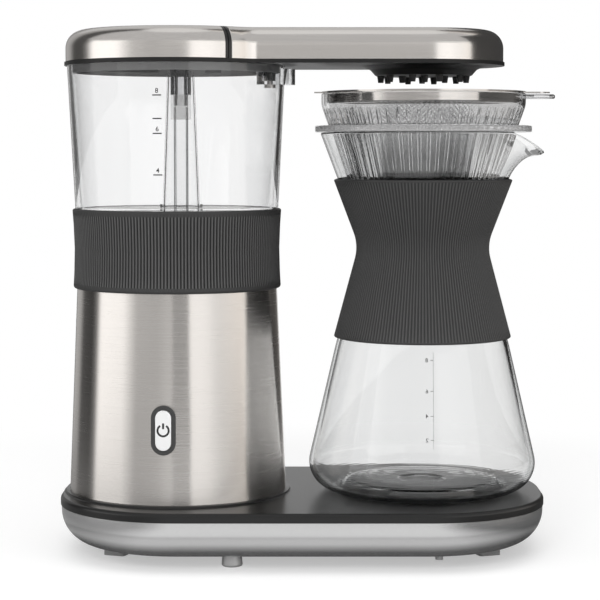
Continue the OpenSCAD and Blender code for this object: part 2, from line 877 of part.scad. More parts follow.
module hose_clips() {
    clip_h = 5;
    clip_t = 1.2;
    inset = 2;
    r = spigot_r + hose_wall;
    z0 = z_spigot_top - hose_lap + inset;
    color(steel) {
        for (z = [z0, z_valve - clip_h - inset]) at_inlet(z) tube(r + clip_t, r + push_fit, clip_h);
        for (z = [z0, z_floor - outlet_gap - clip_h - inset])
            at_riser(z) tube(r + clip_t, r + push_fit, clip_h);
    }
}

// The heater's bent extrusion runs from under the riser round to under the inlet
module heater() {
    channel_r = 3.2;
    color(alu) at_tower() difference() {
        union() {
            translate([0, 0, z_heater]) rotate([0, 0, 90]) rotate_extrude(angle = 270)
                translate([heater_r - heater_w / 2, 0]) square([heater_w, heater_h]);
            for (a = [0, 90]) rotate([0, 0, a]) translate([heater_r, 0, z_heater]) {
                cylinder(r = heater_w / 2, h = heater_h);
                cylinder(r = spigot_r, h = z_spigot_top - z_heater);
            }
        }
        for (a = [0, 90]) rotate([0, 0, a]) translate([heater_r, 0, z_heater + heater_h / 2])
            cylinder(r = channel_r, h = z_spigot_top);
    }
}

module heater_standoffs() {
    color(ceramic) at_tower(z_shelf + shelf_t) for (a = [100, 180, 260, 350]) rotate([0, 0, a])
        translate([heater_r, 0, 0]) cylinder(d = standoff_d, h = standoff_h);
}

module heater_thermostats() {
    body_h = 7;
    color(black) at_tower(z_heater + heater_h) for (a = [190, 235]) rotate([0, 0, a])
        translate([heater_r, 0, 0]) {
            cylinder(r = cutout_r, h = body_h);
            translate([0, 0, body_h]) blades();
        }
}

// The button and its board

bezel_out = 1.2;
bezel_in = 7;
button_out = 1.9;
button_root = bezel_in - 1;
button_stem = 9;
stem_d = 4;
plunger_d = 3.4;
plunger_h = 2.6;
plunger_gap = 0.1;
board_t = 1.6;
switch_h = 4;
switch_w = 12;
switch_floor = 0.8;
switch_at = button_stem + plunger_gap + plunger_h + plunger_gap;
board_at = switch_at + switch_h;
board_w = 34;
board_l = 50;
board_post_y = 20;
post_r = 3;

module button_bezel() {
    backing_t = 2.5;
    backing_w = 6;
    backing_l = 22;
    color(dark_grey) difference() {
        union() {
            at_button(0) linear_extrude(bezel_out) pill(bezel_w, bezel_l);
            at_button(-bezel_in) linear_extrude(bezel_in + bezel_out / 2) pill(shank_w, shank_l);
            at_button(-bezel_in) linear_extrude(backing_t) pill(shank_w + backing_w, shank_l + backing_l);
            for (s = [-1, 1]) at_button(-board_at) translate([0, s * board_post_y, 0])
                cylinder(r = post_r, h = board_at - bezel_in + 1);
        }
        at_button(-bezel_in - 1) linear_extrude(bezel_in + bezel_out + 2)
            pill(button_w + 2 * clear, button_l + 2 * clear);
    }
}

module power_button() {
    color([0.88, 0.88, 0.87]) {
        at_button(-button_root) linear_extrude(button_root + button_out) pill(button_w, button_l);
        at_button(-button_stem) cylinder(d = stem_d, h = button_stem - button_root + 1);
    }
}

module switch_plunger() {
    color(black) at_button(-button_stem - plunger_gap - plunger_h) cylinder(d = plunger_d, h = plunger_h);
}

module power_switch() {
    well_h = button_travel + switch_floor;
    color(rubber_grey) at_button(-board_at) difference() {
        translate([-switch_w / 2, -switch_w / 2, 0]) cube([switch_w, switch_w, switch_h]);
        translate([0, 0, switch_h - well_h]) cylinder(d = plunger_d + 2 * clear, h = well_h + 1);
    }
}

module control_board() {
    screw_hole = 2.4;
    color(board_green) at_button(-board_at - board_t) difference() {
        translate([-board_w / 2, -board_l / 2, 0]) cube([board_w, board_l, board_t]);
        for (s = [-1, 1]) translate([0, s * board_post_y, -1]) cylinder(d = screw_hole, h = board_t + 2);
    }
}

// A relay, a small transformer, two capacitors and a terminal block on the board's back
module board_parts() {
    relay = [18, 15, 12];
    relay_at = [-13, -16, 0];
    driver = [10, 8, 6];
    driver_at = [-13, 4, 0];
    terminals = [18, 6, 8];
    terminals_at = [-4, 14.5, 0];
    big_capacitor_d = 10;
    big_capacitor_h = 14;
    big_capacitor_at = [9, 8, 0];
    small_capacitor_d = 6;
    small_capacitor_h = 7;
    small_capacitor_at = [10, -12, 0];
    color(black) at_button(-board_at - board_t) mirror([0, 0, 1]) {
        translate(relay_at) cube(relay);
        translate(driver_at) cube(driver);
        translate(big_capacitor_at) cylinder(d = big_capacitor_d, h = big_capacitor_h);
        translate(terminals_at) cube(terminals);
        translate(small_capacitor_at) cylinder(d = small_capacitor_d, h = small_capacitor_h);
    }
}

// The top: a keyhole plan, round over the tank and carried on as an arm

fillet_y = arm_half_w + arm_fillet_r;
fillet_x = sqrt(pow(cap_r + arm_fillet_r, 2) - pow(fillet_y, 2));
fillet_a = atan2(fillet_y, fillet_x);

// Half angle, about the tower, at which a circle of radius r meets the seam circle of radius s
function meets(r, s) = acos((arm_l * arm_l + r * r - s * s) / (2 * arm_l * r));

// Half angle of the same point about the shower
function seen_from_shower(r, s) = acos((arm_l * arm_l + s * s - r * r) / (2 * arm_l * s));

// The front half of the arm's outline drawn in by d, from the tank's circle to the arm's end
function arm_side(d, from_a, n) = concat(
    arc([0, 0], cap_r - d, -from_a, -fillet_a, n),
    after_first(arc([fillet_x, -fillet_y], arm_fillet_r + d, 180 - fillet_a, 90, 8)),
    arc([arm_l, 0], arm_half_w - d, -90, 0, 16)
);

// The same points on the other side, back from the arm's end
function mirrored(pts) = [for (i = [len(pts) - 2:-1:0]) [pts[i].x, -pts[i].y]];

seam_points = 15;

// The arm's outline drawn in by d, cut off at the seam circle of radius s
function arm_outline(d, s) =
    let (half = arm_side(d, meets(cap_r - d, s), 6),
         b = seen_from_shower(cap_r - d, s),
         seam = arc([arm_l, 0], s, 180 - b, 180 + b, seam_points + 1))
    concat(half, mirrored(half), [for (i = [1:seam_points]) seam[i]]);

// The whole keyhole drawn in by d
function keyhole(d) =
    let (half = arm_side(d, 180, 30),
         other = mirrored(half))
    concat(half, [for (i = [0:len(other) - 2]) other[i]]);

// A hood of sheet metal over an outline: its wall follows the first n points of the outline, level by level,
// and its flat top is closed by the rest of them, where the hood is open to the side
module hood(outside, inside, outside_z, inside_z, n) {
    m = len(outside);
    s = len(outside[0]) - n;
    top = m - 1;
    function at(p, z) = [p.x, p.y, z];
    function o(j, i) = j * n + i;
    function h(j, i) = (m + j) * n + i;
    points = concat(
        [for (j = [0:top]) for (i = [0:n - 1]) at(outside[j][i], outside_z[j])],
        [for (j = [0:top]) for (i = [0:n - 1]) at(inside[j][i], inside_z[j])],
        [for (i = [n:n + s - 1]) at(outside[top][i], outside_z[top])],
        [for (i = [n:n + s - 1]) at(inside[top][i], inside_z[top])]
    );
    outer_seam = [for (i = [0:s - 1]) 2 * m * n + i];
    inner_seam = [for (i = outer_seam) i + s];
    outer_run = concat([o(top, n - 1)], outer_seam, [o(top, 0)]);
    inner_run = concat([h(top, n - 1)], inner_seam, [h(top, 0)]);
    walls = [for (j = [0:top - 1]) for (i = [0:n - 2]) each [
        [o(j, i), o(j + 1, i), o(j + 1, i + 1)],
        [o(j, i), o(j + 1, i + 1), o(j, i + 1)],
        [h(j, i), h(j + 1, i + 1), h(j + 1, i)],
        [h(j, i), h(j, i + 1), h(j + 1, i + 1)]
    ]];
    foot = [for (i = [0:n - 2]) [o(0, i), o(0, i + 1), h(0, i + 1), h(0, i)]];
    ends = [for (j = [0:top - 1]) each [
        [o(j, 0), h(j, 0), h(j + 1, 0)],
        [o(j, 0), h(j + 1, 0), o(j + 1, 0)],
        [o(j, n - 1), o(j + 1, n - 1), h(j + 1, n - 1)],
        [o(j, n - 1), h(j + 1, n - 1), h(j, n - 1)]
    ]];
    edge = [for (i = [0:s]) each [
        [inner_run[i], outer_run[i], outer_run[i + 1]],
        [inner_run[i], outer_run[i + 1], inner_run[i + 1]]
    ]];
    roof = concat([for (i = [n - 1:-1:0]) o(top, i)], backwards(outer_seam));
    ceiling = concat([for (i = [0:n - 1]) h(top, i)], inner_seam);
    polyhedron(points, concat(walls, foot, ends, edge, [roof], [ceiling]));
}

cap_steps = 6;

// The caps' section with its wall drawn in by t: how far in each level is, and its height
function cap_inset(t) =
    let (r = cap_edge_r - t)
    [t, for (i = [0:cap_steps]) t + r * (1 - cos(90 * i / cap_steps))];
function cap_height(t, z0) =
    let (r = cap_edge_r - t)
    [z0, for (i = [0:cap_steps]) z_top - cap_edge_r + r * sin(90 * i / cap_steps)];

arm_seam = seam_r - seam_gap / 2 - trim_w;
lid_seam = seam_r + seam_gap / 2 + trim_w;

module arm_cover() {
    outside = [for (d = cap_inset(0)) arm_outline(d, arm_seam)];
    inside = [for (d = cap_inset(steel_t)) arm_outline(d, arm_seam)];
    n = len(outside[0]) - seam_points;
    color(steel) at_tower() hood(outside, inside, cap_height(0, z_cap), cap_height(steel_t, z_cap), n);
}

// The round cap over the tank, as a solid of revolution
function round_cap(t, z0) = rounded([
    [0, z0, 0], [cap_r - t, z0, 0], [cap_r - t, z_top - t, cap_edge_r - t], [0, z_top - t, 0]
]);

z_lid = z_cap + clear;
pipe_room = 8;

// The slot that lets the pipe through the seam
module pipe_slot() {
    reach = 12;
    at_carafe(z_cap - 1) rotate([0, 0, riser_angle]) translate([seam_r - reach, -pipe_room, 0])
        cube([2 * reach, 2 * pipe_room, z_pipe - z_cap + 1 + pipe_room]);
}

module seam_strip(inner, z0) {
    difference() {
        intersection() {
            at_tower() rotate_extrude() polygon(round_cap(0, z0));
            at_carafe(z0 - 1) tube(inner + trim_w, inner, cap_h + 2);
        }
        pipe_slot();
    }
}

module arm_trim() { color(black) seam_strip(arm_seam + push_fit, z_cap); }
module lid_trim() { color(black) seam_strip(seam_r + seam_gap / 2, z_lid); }

module lid_cap() {
    color(steel) difference() {
        at_tower() rotate_extrude() polygon(round_cap(0, z_lid));
        at_tower() rotate_extrude() polygon(round_cap(steel_t, z_lid - 1));
        at_carafe(z_cap - 1) cylinder(r = lid_seam + push_fit, h = cap_h + 4, $fn = 180);
    }
}

liner_t = 2;
ledge_reach = 2;

// Plan of the bridge that carries the riser's fitting and the pipe, grown by g
module bridge_plan(g) {
    w = bridge_w + 2 * g;
    to_shower = 60;
    to_rim = 40;
    at_riser() {
        circle(d = w);
        rotate([0, 0, riser_angle - 180]) translate([0, -w / 2]) square([to_shower, w]);
        rotate([0, 0, 90]) translate([0, -w / 2]) square([to_rim, w]);
    }
}

module lid_liner() {
    plate_z = z_top - steel_t - liner_t;
    r = fill_r - 1;
    bridge_gap = 1.5;
    low = z_rim - skirt_h;
    color(black) difference() {
        union() {
            at_tower(plate_z) cylinder(r = cap_r - cap_edge_r, h = liner_t);
            at_tower(z_rim - skirt_h / 2) tube(r, r - liner_t, plate_z - z_rim + skirt_h / 2 + 0.5);
        }
        at_carafe(low) cylinder(r = lid_seam + push_fit, h = z_top - low);
        at_carafe(low) cylinder(r = lid_seam + ledge_reach + clear, h = z_lid - low);
        translate([0, 0, low]) linear_extrude(z_pipe + pipe_room - low) bridge_plan(bridge_gap);
    }
}

module top_housing() {
    skirt_gap = 1.2;
    skirt_t = 2;
    lug_gap = 1.5;
    shroud_gap = 3;
    skirt_r = tank_top_r - tank_wall - skirt_gap;
    color(black) difference() {
        union() {
            at_tower(z_rim) linear_extrude(rim_t) polygon(keyhole(-rim_proud));
            at_tower(z_rim - skirt_h) tube(skirt_r, skirt_r - skirt_t, skirt_h + 0.5);
        }
        translate([0, 0, z_rim - 1]) linear_extrude(rim_t + 2) difference() {
            at_tower() circle(fill_r);
            at_carafe() circle(lid_seam + ledge_reach, $fn = 180);
            bridge_plan(0);
        }
        at_riser(z_rim - 1) cylinder(r = coupling_r + slip, h = rim_t + 2);
        at_carafe(z_rim - 1) cylinder(r = dish_r + slip, h = rim_t + 2);
        at_tower(z_rim - 1) translate([peg_x, 0, 0]) cylinder(d = peg_neck_d + 2 * slip, h = rim_t + 2);
        at_tower(lug_z - 1) translate([lug_from - lug_gap, -lug_w / 2 - lug_gap, 0])
            cube([lug_to - lug_from, lug_w + 2 * lug_gap, z_rim - lug_z + 1]);
        at_riser(z_rim - skirt_h - 1) cylinder(r = shroud_top_r + shroud_gap, h = skirt_h + 1);
    }
}

module arm_peg() {
    head_h = 1.6;
    low = lug_z + lug_floor;
    color(dark_grey) at_tower() translate([peg_x, 0, 0]) difference() {
        union() {
            translate([0, 0, low]) cylinder(d = peg_d, h = z_rim - low);
            translate([0, 0, lug_z + lug_h]) cylinder(d = peg_head_d, h = z_rim - lug_z - lug_h);
            translate([0, 0, z_rim - 0.5]) cylinder(d = peg_neck_d, h = rim_t + 1);
            translate([0, 0, z_cap]) cylinder(d = peg_head_d, h = head_h);
        }
        translate([0, 0, lug_z]) cylinder(d = peg_screw_d + 2 * slip, h = peg_screw_l + 1);
    }
}

module peg_screw() {
    head_h = 2.2;
    head_d = 7.5;
    color(steel) at_tower(lug_z - head_h) translate([peg_x, 0, 0]) {
        cylinder(d = head_d, h = head_h);
        cylinder(d = peg_screw_d, h = head_h + peg_screw_l);
    }
}

// The shower

dish_wall = 2;
dish_lip = 3;
nozzle_bore = 1.4;
nozzle_stem = 3.4;
nozzle_ring_n = 10;
nozzle_inner_n = 4;
nozzle_spots = [
    for (i = [1:nozzle_ring_n]) let (a = 360 * i / nozzle_ring_n) nozzle_ring_r * [cos(a), sin(a)],
    for (i = [1:nozzle_inner_n]) let (a = 360 * i / nozzle_inner_n) nozzle_inner_r * [cos(a), sin(a)]
];
dish_rim_h = 1.6;

module shower_dish() {
    step_w = 3.5;
    step_h = 2.5;
    section = [
        [0, z_dish, 0],
        [dish_face_r, z_dish, 2],
        [dish_face_r + step_w, z_rim - step_h, 4],
        [dish_r, z_rim, 0],
        [dish_r, z_cap, 0],
        [dish_r + dish_lip, z_cap, 0],
        [dish_r + dish_lip, z_cap + dish_rim_h, 0],
        [dish_r - dish_wall, z_cap + dish_rim_h, 0],
        [dish_r - dish_wall, z_rim + 1, 0],
        [dish_face_r - 1, z_rim - 1, 0],
        [dish_face_r - 1, z_dish + dish_wall, 0],
        [0, z_dish + dish_wall, 0]
    ];
    color(black) difference() {
        at_carafe() rotate_extrude() polygon(rounded(section));
        for (p = nozzle_spots) at_carafe(z_dish - 1) translate([p.x, p.y, 0])
            cylinder(d = nozzle_stem + 2 * slip, h = dish_wall + 2, $fn = 32);
    }
}

boss_r = 8;

// Along the same pipe, from the shower towards the riser
module from_shower() { at_carafe(z_pipe) rotate([0, 0, riser_angle]) rotate([0, 90, 0]) children(); }

module shower_cap() {
    z0 = z_cap + dish_rim_h;
    t = 2;
    boss_top = z_pipe + boss_r - 2;
    color(black) difference() {
        union() {
            at_carafe(z0) cylinder(r = dish_r + dish_lip, h = t);
            at_carafe(z0) cylinder(r = boss_r, h = boss_top - z0);
            from_shower() cylinder(d = pipe_d, h = boss_r + pipe_spigot);
        }
        at_carafe(z0 - 1) cylinder(d = pipe_d - 2 * pipe_wall, h = z_pipe - z0 + 1);
        from_shower() cylinder(d = pipe_d - 2 * pipe_wall, h = boss_r + pipe_spigot + 1);
    }
}

module shower_nozzles() {
    head_h = 1.2;
    tip_d = nozzle_d - 1.4;
    color(black) for (p = nozzle_spots) at_carafe(z_nozzle) translate([p.x, p.y, 0]) difference() {
        union() {
            cylinder(d1 = tip_d, d2 = nozzle_d, h = nozzle_h, $fn = 32);
            cylinder(d = nozzle_stem, h = nozzle_h + dish_wall + head_h, $fn = 32);
            translate([0, 0, nozzle_h + dish_wall]) cylinder(d = nozzle_d, h = head_h, $fn = 32);
        }
        translate([0, 0, -1]) cylinder(d = nozzle_bore, h = nozzle_h + dish_wall + head_h + 2, $fn = 24);
    }
}

module arm_tube() {
    wall = 2;
    start = coupling_r + 2 * clear;
    stop = pipe_span - boss_r - 2 * clear;
    color(hose_white) along_pipe() translate([0, 0, start])
        tube(pipe_d / 2 + wall, pipe_d / 2 + push_fit, stop - start);
}

// The lid and the carafe's pieces

kick_h = 4;
kick_r = 44;
foot_ring_r = 49;
shoulder_curve_r = 120;

// The glass's outside, from the middle of its foot to its rim
glass_path = [
    [0, kick_h, 0],
    [kick_r, kick_h, 5],
    [foot_ring_r, 0, 4],
    [bowl_r, 0, bowl_edge_r],
    [shoulder_r, shoulder_h, shoulder_curve_r],
    [waist_r, waist_h, waist_curve_r],
    [rim_r, carafe_h, 0]
];

// The spout: near the rim and round angle 0 the glass is drawn outwards and its edge drops
function spout(p, a) =
    let (turn = abs(wrap(a)),
         side = turn < spout_angle ? pow(cos(90 * turn / spout_angle), 2) : 0,
         rise = smooth((p.y - carafe_h + spout_h) / spout_h))
    [p.x + spout_reach * side * pow(rise, 1.2), p.y - spout_drop * side * pow(rise, 3)];

// A turned shell, closed on its axis at both ends, with the spout drawn from its rim
module spouted(path, n) {
    m = len(path);
    points = concat(
        [[0, 0, path[0].y]],
        [for (j = [1:m - 2]) for (i = [0:n - 1])
            let (a = 360 * i / n, q = spout(path[j], a)) [q.x * cos(a), q.x * sin(a), q.y]],
        [[0, 0, path[m - 1].y]]
    );
    last = len(points) - 1;
    bottom = [for (i = [0:n - 1]) [0, 1 + i, 1 + (i + 1) % n]];
    top = [for (i = [0:n - 1]) [last, last - n + (i + 1) % n, last - n + i]];
    wall = [for (j = [0:m - 4]) for (i = [0:n - 1]) let (k = (i + 1) % n, u = 1 + j * n) each [
        [u + i, u + n + i, u + n + k],
        [u + i, u + n + k, u + k]
    ]];
    polyhedron(points, concat(bottom, wall, top));
}

// Adds rows of points on the upper half of the glass's last run, where the spout bends it
function with_spout_rows(path, rows) =
    let (m = len(path) - 1,
         end = path[m],
         back = (path[m - 1] - end) / 2)
    concat([for (i = [0:m - 1]) path[i]], [for (i = [rows:-1:0]) end + back * i / (rows + 1)]);

module carafe_glass() {
    rows = 5;
    step = 15;
    sides = 60;
    outside = with_spout_rows(rounded_path(glass_path, step), rows);
    inside = with_spout_rows(rounded_path(moved(glass_path, glass_t), step), rows);
    level = [for (p = inside) [p.x, min(p.y, carafe_h)]];
    color(clear_tint) at_carafe(z_carafe) spouted(concat(outside, backwards(level)), sides);
}

// Radius of the glass's straight runs beside the waist
function lower_glass(h) = shoulder_r + (waist_r - shoulder_r) * (h - shoulder_h) / (waist_h - shoulder_h);
function upper_glass(h) = waist_r + (rim_r - waist_r) * (h - waist_h) / (carafe_h - waist_h);

module carafe_sleeve() {
    h0 = grip_low_h;
    h1 = grip_low_h + grip_h;
    path = [[lower_glass(h0), h0, 0], [waist_r, waist_h, waist_curve_r], [upper_glass(h1), h1, 0]];
    bore_gap = 2 * slip;
    inside = moved(path, -bore_gap);
    outside = moved(path, -bore_gap - grip_t);
    edge = grip_t / 3;
    ends = [for (i = [0:2]) [outside[i].x, outside[i].y, i == 1 ? outside[1].z : edge]];
    color(rubber_grey) at_carafe(z_carafe) rotate_extrude()
        polygon(rounded(concat(ends, backwards(inside))));
}

// The dripper and the filter

z_bowl = z_flange + flange_t + dripper_bowl_h;
z_cone = z_carafe + waist_h + cone_over_waist;
outlet_r = 14;
outlet_h = 9;
bowl_rim_h = 8;
rib_top_z = z_bowl - 12;
handle_t = 3;
handle_low = 0.5;

// The dripper's outside, from its outlet up to the bowl's rim
dripper_path = [
    [outlet_r, z_cone - outlet_h, 0],
    [outlet_r, z_cone, 3],
    [cone_low_r, z_cone, 4],
    [cone_r, z_flange, 0],
    [dripper_neck_r, z_flange + flange_t, 0],
    [dripper_r, z_bowl - bowl_rim_h, 14],
    [dripper_r, z_bowl, 0]
];

// Section of a rib: its root is inside the wall, and its face stands rib_t out of it
function rib_section() =
    let (run = [for (i = [2:5]) [dripper_path[i].x, dripper_path[i].y, 0]],
         up = (rib_top_z - run[2].y) / (run[3].y - run[2].y),
         low = run[0] + (run[1] - run[0]) * 0.1,
         top = run[2] + (run[3] - run[2]) * up,
         way = [low, run[1], run[2], top],
         root = moved(way, dripper_wall / 2),
         face = moved(way, dripper_wall + rib_t))
    [for (p = concat(root, backwards(face))) flat(p)];

module dripper() {
    outside = rounded_path(dripper_path);
    inside = rounded_path(moved(dripper_path, dripper_wall));
    color(clear_tint) at_carafe() {
        rotate_extrude() polygon(concat(outside, backwards(inside)));
        translate([0, 0, z_flange]) tube(flange_r, cone_r - dripper_wall / 2, flange_t);
        translate([0, 0, z_bowl - handle_t - handle_low]) dripper_handle();
        for (i = [0:rib_n - 1]) rotate([90, 0, 360 * i / rib_n])
            linear_extrude(rib_w, center = true) polygon(rib_section());
    }
}

// A tongue that leaves the bowl towards +X, with a round end
module dripper_handle() {
    difference() {
        linear_extrude(handle_t) {
            translate([0, -handle_w / 2]) square([handle_reach - handle_w / 2, handle_w]);
            translate([handle_reach - handle_w / 2, 0]) circle(d = handle_w);
        }
        translate([0, 0, -1]) cylinder(r = dripper_r - dripper_wall / 2, h = handle_t + 2);
    }
}

band_gap = 1;
band_r = dripper_r - dripper_wall - band_gap;
z_band = z_filter - filter_t - band_h;

module filter_rim() {
    tab_w = 14;
    short_tab = 73;
    color(steel) at_carafe() {
        translate([0, 0, z_filter - filter_t]) difference() {
            union() {
                cylinder(r = filter_rim_r, h = filter_t);
                linear_extrude(filter_t) {
                    translate([0, -tab_w / 2]) square([tab_reach - tab_w / 2, tab_w]);
                    translate([tab_reach - tab_w / 2, 0]) circle(d = tab_w);
                    translate([-short_tab, -tab_w / 4]) square([short_tab, tab_w / 2]);
                }
            }
            translate([0, 0, -1]) cylinder(r = band_r - filter_t, h = filter_t + 2);
        }
        translate([0, 0, z_band]) tube(band_r, band_r - filter_t, band_h + filter_t / 2);
    }
}

module filter_mesh() {
    mesh_t = 0.6;
    top_r = band_r - filter_t - push_fit;
    lap = 3;
    mesh_gap = 1.6;
    neck_r = cone_r - dripper_wall - rib_t - mesh_gap;
    path = [
        [0, z_cone + filter_over_cone, 0],
        [filter_low_r, z_cone + filter_over_cone, 4],
        [neck_r, z_flange, 10],
        [top_r, z_band, 3],
        [top_r, z_band + lap, 0]
    ];
    color([0.45, 0.45, 0.45]) at_carafe() rotate_extrude()
        polygon(concat(rounded_path(path), backwards(rounded_path(moved(path, mesh_t)))));
}

base_shell();
base_deck();
bottom_plate();
base_screws();
pad_feet();
round_feet();
cord_gland();
warming_plate();
plate_seal();
plate_heater();
plate_thermostat();
plate_strap();
strap_screws();
tower_plinth();
tower_chassis();
tower_jacket();
tower_collar();
tower_sleeve();
tank();
tank_floor();
floor_gasket();
riser_tube();
riser_shroud();
riser_coupling();
riser_fitting();
inlet_valve();
valve_ball();
inlet_hose();
outlet_hose();
hose_clips();
heater();
heater_standoffs();
heater_thermostats();
control_board();
board_parts();
power_switch();
switch_plunger();
button_bezel();
power_button();
top_housing();
arm_cover();
arm_trim();
arm_tube();
shower_dish();
shower_cap();
shower_nozzles();
arm_peg();
peg_screw();
lid_cap();
lid_trim();
lid_liner();
carafe_glass();
carafe_sleeve();
dripper();
filter_rim();
filter_mesh();
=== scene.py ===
"""Pour-over coffee maker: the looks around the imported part. Lengths are millimetres until a mesh is made."""
import json
import math

import bpy
import numpy as np
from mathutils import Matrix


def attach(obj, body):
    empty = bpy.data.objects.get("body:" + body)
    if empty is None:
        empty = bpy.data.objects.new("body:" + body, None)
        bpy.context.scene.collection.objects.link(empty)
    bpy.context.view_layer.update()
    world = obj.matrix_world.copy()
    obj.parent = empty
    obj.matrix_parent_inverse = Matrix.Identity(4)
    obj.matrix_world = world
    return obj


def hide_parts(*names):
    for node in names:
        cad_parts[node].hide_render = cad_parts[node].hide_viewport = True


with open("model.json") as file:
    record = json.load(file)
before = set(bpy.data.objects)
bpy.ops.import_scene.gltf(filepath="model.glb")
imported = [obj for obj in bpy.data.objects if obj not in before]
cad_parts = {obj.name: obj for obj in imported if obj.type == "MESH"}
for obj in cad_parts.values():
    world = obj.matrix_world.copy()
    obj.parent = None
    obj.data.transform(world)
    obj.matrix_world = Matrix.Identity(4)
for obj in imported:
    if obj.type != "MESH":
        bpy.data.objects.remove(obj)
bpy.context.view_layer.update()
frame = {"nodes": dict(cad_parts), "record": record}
nodes = frame["nodes"]

MM = 0.001  # metres in a millimetre
TOWER_X = -87.935  # axis of the tower
CARAFE_X = 77.135  # axis of the carafe
BENCH = 40.3  # height at which the carafe stands


# Finishes

class Value:
    """A socket of a finish. Arithmetic on it adds Math nodes."""

    def __init__(self, finish, socket):
        self.finish = finish
        self.socket = socket

    def math(self, operation, *values):
        return self.finish.node("ShaderNodeMath", {"operation": operation}, dict(enumerate(values)))

    def __add__(self, other):
        return self.math("ADD", self, other)

    def __sub__(self, other):
        return self.math("SUBTRACT", self, other)

    def __rsub__(self, other):
        return self.math("SUBTRACT", other, self)

    def __mul__(self, other):
        return self.math("MULTIPLY", self, other)

    def __truediv__(self, other):
        return self.math("DIVIDE", self, other)

    def __rtruediv__(self, other):
        return self.math("DIVIDE", other, self)

    def __pow__(self, other):
        return self.math("POWER", self, other)

    __radd__ = __add__
    __rmul__ = __mul__

    def sin(self):
        return self.math("SINE", self)

    def above(self, limit):
        return self.math("GREATER_THAN", self, limit)


class Finish:
    """A material with one main shader, whose sockets take constants or the values of other nodes."""

    def __init__(self, name, kind="ShaderNodeBsdfPrincipled", **sockets):
        self.material = bpy.data.materials.new(name)
        self.material.use_nodes = True
        self.tree = self.material.node_tree
        self.tree.nodes.clear()
        self.end = self.tree.nodes.new("ShaderNodeOutputMaterial")
        self.shader = self.tree.nodes.new(kind)
        self.tree.links.new(self.shader.outputs[0], self.end.inputs["Surface"])
        self.set(**sockets)

    def put(self, socket, value):
        if isinstance(value, Value):
            self.tree.links.new(value.socket, socket)
        else:
            socket.default_value = value

    def set(self, **sockets):
        for key, value in sockets.items():
            self.put(self.shader.inputs[key.replace("_", " ")], value)
        return self

    def node(self, kind, settings=None, sockets=None, out=0):
        """A node of that type: its settings are set first, then the values or links of its sockets."""
        made = self.tree.nodes.new(kind)
        for key, value in (settings or {}).items():
            if key == "stops":
                ramp = made.color_ramp.elements
                while len(ramp) < len(value):
                    ramp.new(0.5)
                for stop, (place, shade) in zip(ramp, value):
                    stop.position = place
                    stop.color = shade
            else:
                setattr(made, key, value)
        for key, value in (sockets or {}).items():
            self.put(made.inputs[key], value)
        return Value(self, made.outputs[out])

    def place(self, scale=(1, 1, 1), centre=(0, 0, 0)):
        """Object coordinates about a centre, stretched by a scale for each axis, in metres."""
        spot = self.node("ShaderNodeTexCoord", out="Object")
        moved = self.node("ShaderNodeVectorMath", {"operation": "SUBTRACT"}, {0: spot, 1: centre})
        return self.node("ShaderNodeVectorMath", {"operation": "MULTIPLY"}, {0: moved, 1: scale})

    def axes(self, centre=(0, 0, 0)):
        """The three Object coordinates about a centre, in metres."""
        parts = self.node("ShaderNodeSeparateXYZ", sockets={0: self.place(centre=centre)})
        return [Value(self, socket) for socket in parts.socket.node.outputs]

    def noise(self, scale, detail=3.0, roughness=0.55):
        """Cloudy noise from 0 to 1 with that many features in a metre along each axis."""
        return self.node("ShaderNodeTexNoise", sockets={
            "Vector": self.place(scale), "Scale": 1.0, "Detail": detail, "Roughness": roughness})

    def blend(self, share, low, high):
        """A colour that goes from low to high as share goes from 0 to 1."""
        return self.node("ShaderNodeMix", {"data_type": "RGBA"}, {"Factor": share, "A": low, "B": high}, out=2)

    def bump(self, height, distance, strength=1.0):
        """Normals that follow a height of that many millimetres."""
        return self.node("ShaderNodeBump", sockets={
            "Height": height, "Distance": distance * MM, "Strength": strength})

    def over(self, share, level):
        """Painted shade: a dull grey lies over that share of the surface."""
        dull = self.tree.nodes.new("ShaderNodeBsdfDiffuse")
        dull.inputs["Color"].default_value = grey(level)
        both = self.node("ShaderNodeMixShader", sockets={0: share})
        self.tree.links.new(self.shader.outputs[0], both.socket.node.inputs[1])
        self.tree.links.new(dull.outputs[0], both.socket.node.inputs[2])
        self.tree.links.new(both.socket, self.end.inputs["Surface"])

    def absorb(self, colour, density):
        """The inside of a clear solid darkens with depth."""
        inside = self.tree.nodes.new("ShaderNodeVolumeAbsorption")
        inside.inputs["Color"].default_value = colour
        inside.inputs["Density"].default_value = density
        self.tree.links.new(inside.outputs[0], self.end.inputs["Volume"])
        return self


# Noise scales are features in a metre along each axis
DRIFT = (14, 14, 14)
PAINT_DRIFT = (9, 9, 9)
PAINT_FLAKES = (2600, 2600, 2600)
RUBBER_GRAIN = (1500, 1500, 1500)
GLASS_WAVES = (22, 22, 22)
MESH_DRIFT = (60, 60, 60)
STEEL_ROUND = (22, 22, 2000)
STEEL_LONG = (22, 1600, 1600)
ALONG_BRUSHING = 0.25  # turn of the metal's stretched highlight

# Facing from which the painted shade on an upright clear wall begins, facing at which it is darkest, and its grey
EDGE_FROM, EDGE_FULL, EDGE_SHADE_LEVEL = 0.78, 0.95, 0.02
# Upward share of a wall's normal: no painted shade above the first, all of it below the second
EDGE_FLAT, EDGE_UPRIGHT = 0.85, 0.60

LIP_SHADE = 0.6  # place of a sleeve's lips between the shade of its ribs and the painted shade of its grooves
MESH_PANEL = math.pi / 9  # angle of one panel of the mesh
MESH_DARKENS_FROM, MESH_DARKEST_AT = 286.0, 264.0  # heights between which the mesh darkens
MESH_DENSE = 30.0  # half width of the denser middle of the mesh
WIRE_TURN, WIRE_RISE = 120, 2000  # waves of the wires by angle and by metre of height
FINE_TURN, FINE_RISE = 40, 5200
HOUSING_LIGHT_R = 71.0  # inside this radius the housing is lighter


def grey(level, warm=0.0):
    """A grey of that level, a little warmer or cooler."""
    return (level * (1 + warm), level, level * (1 - warm), 1)


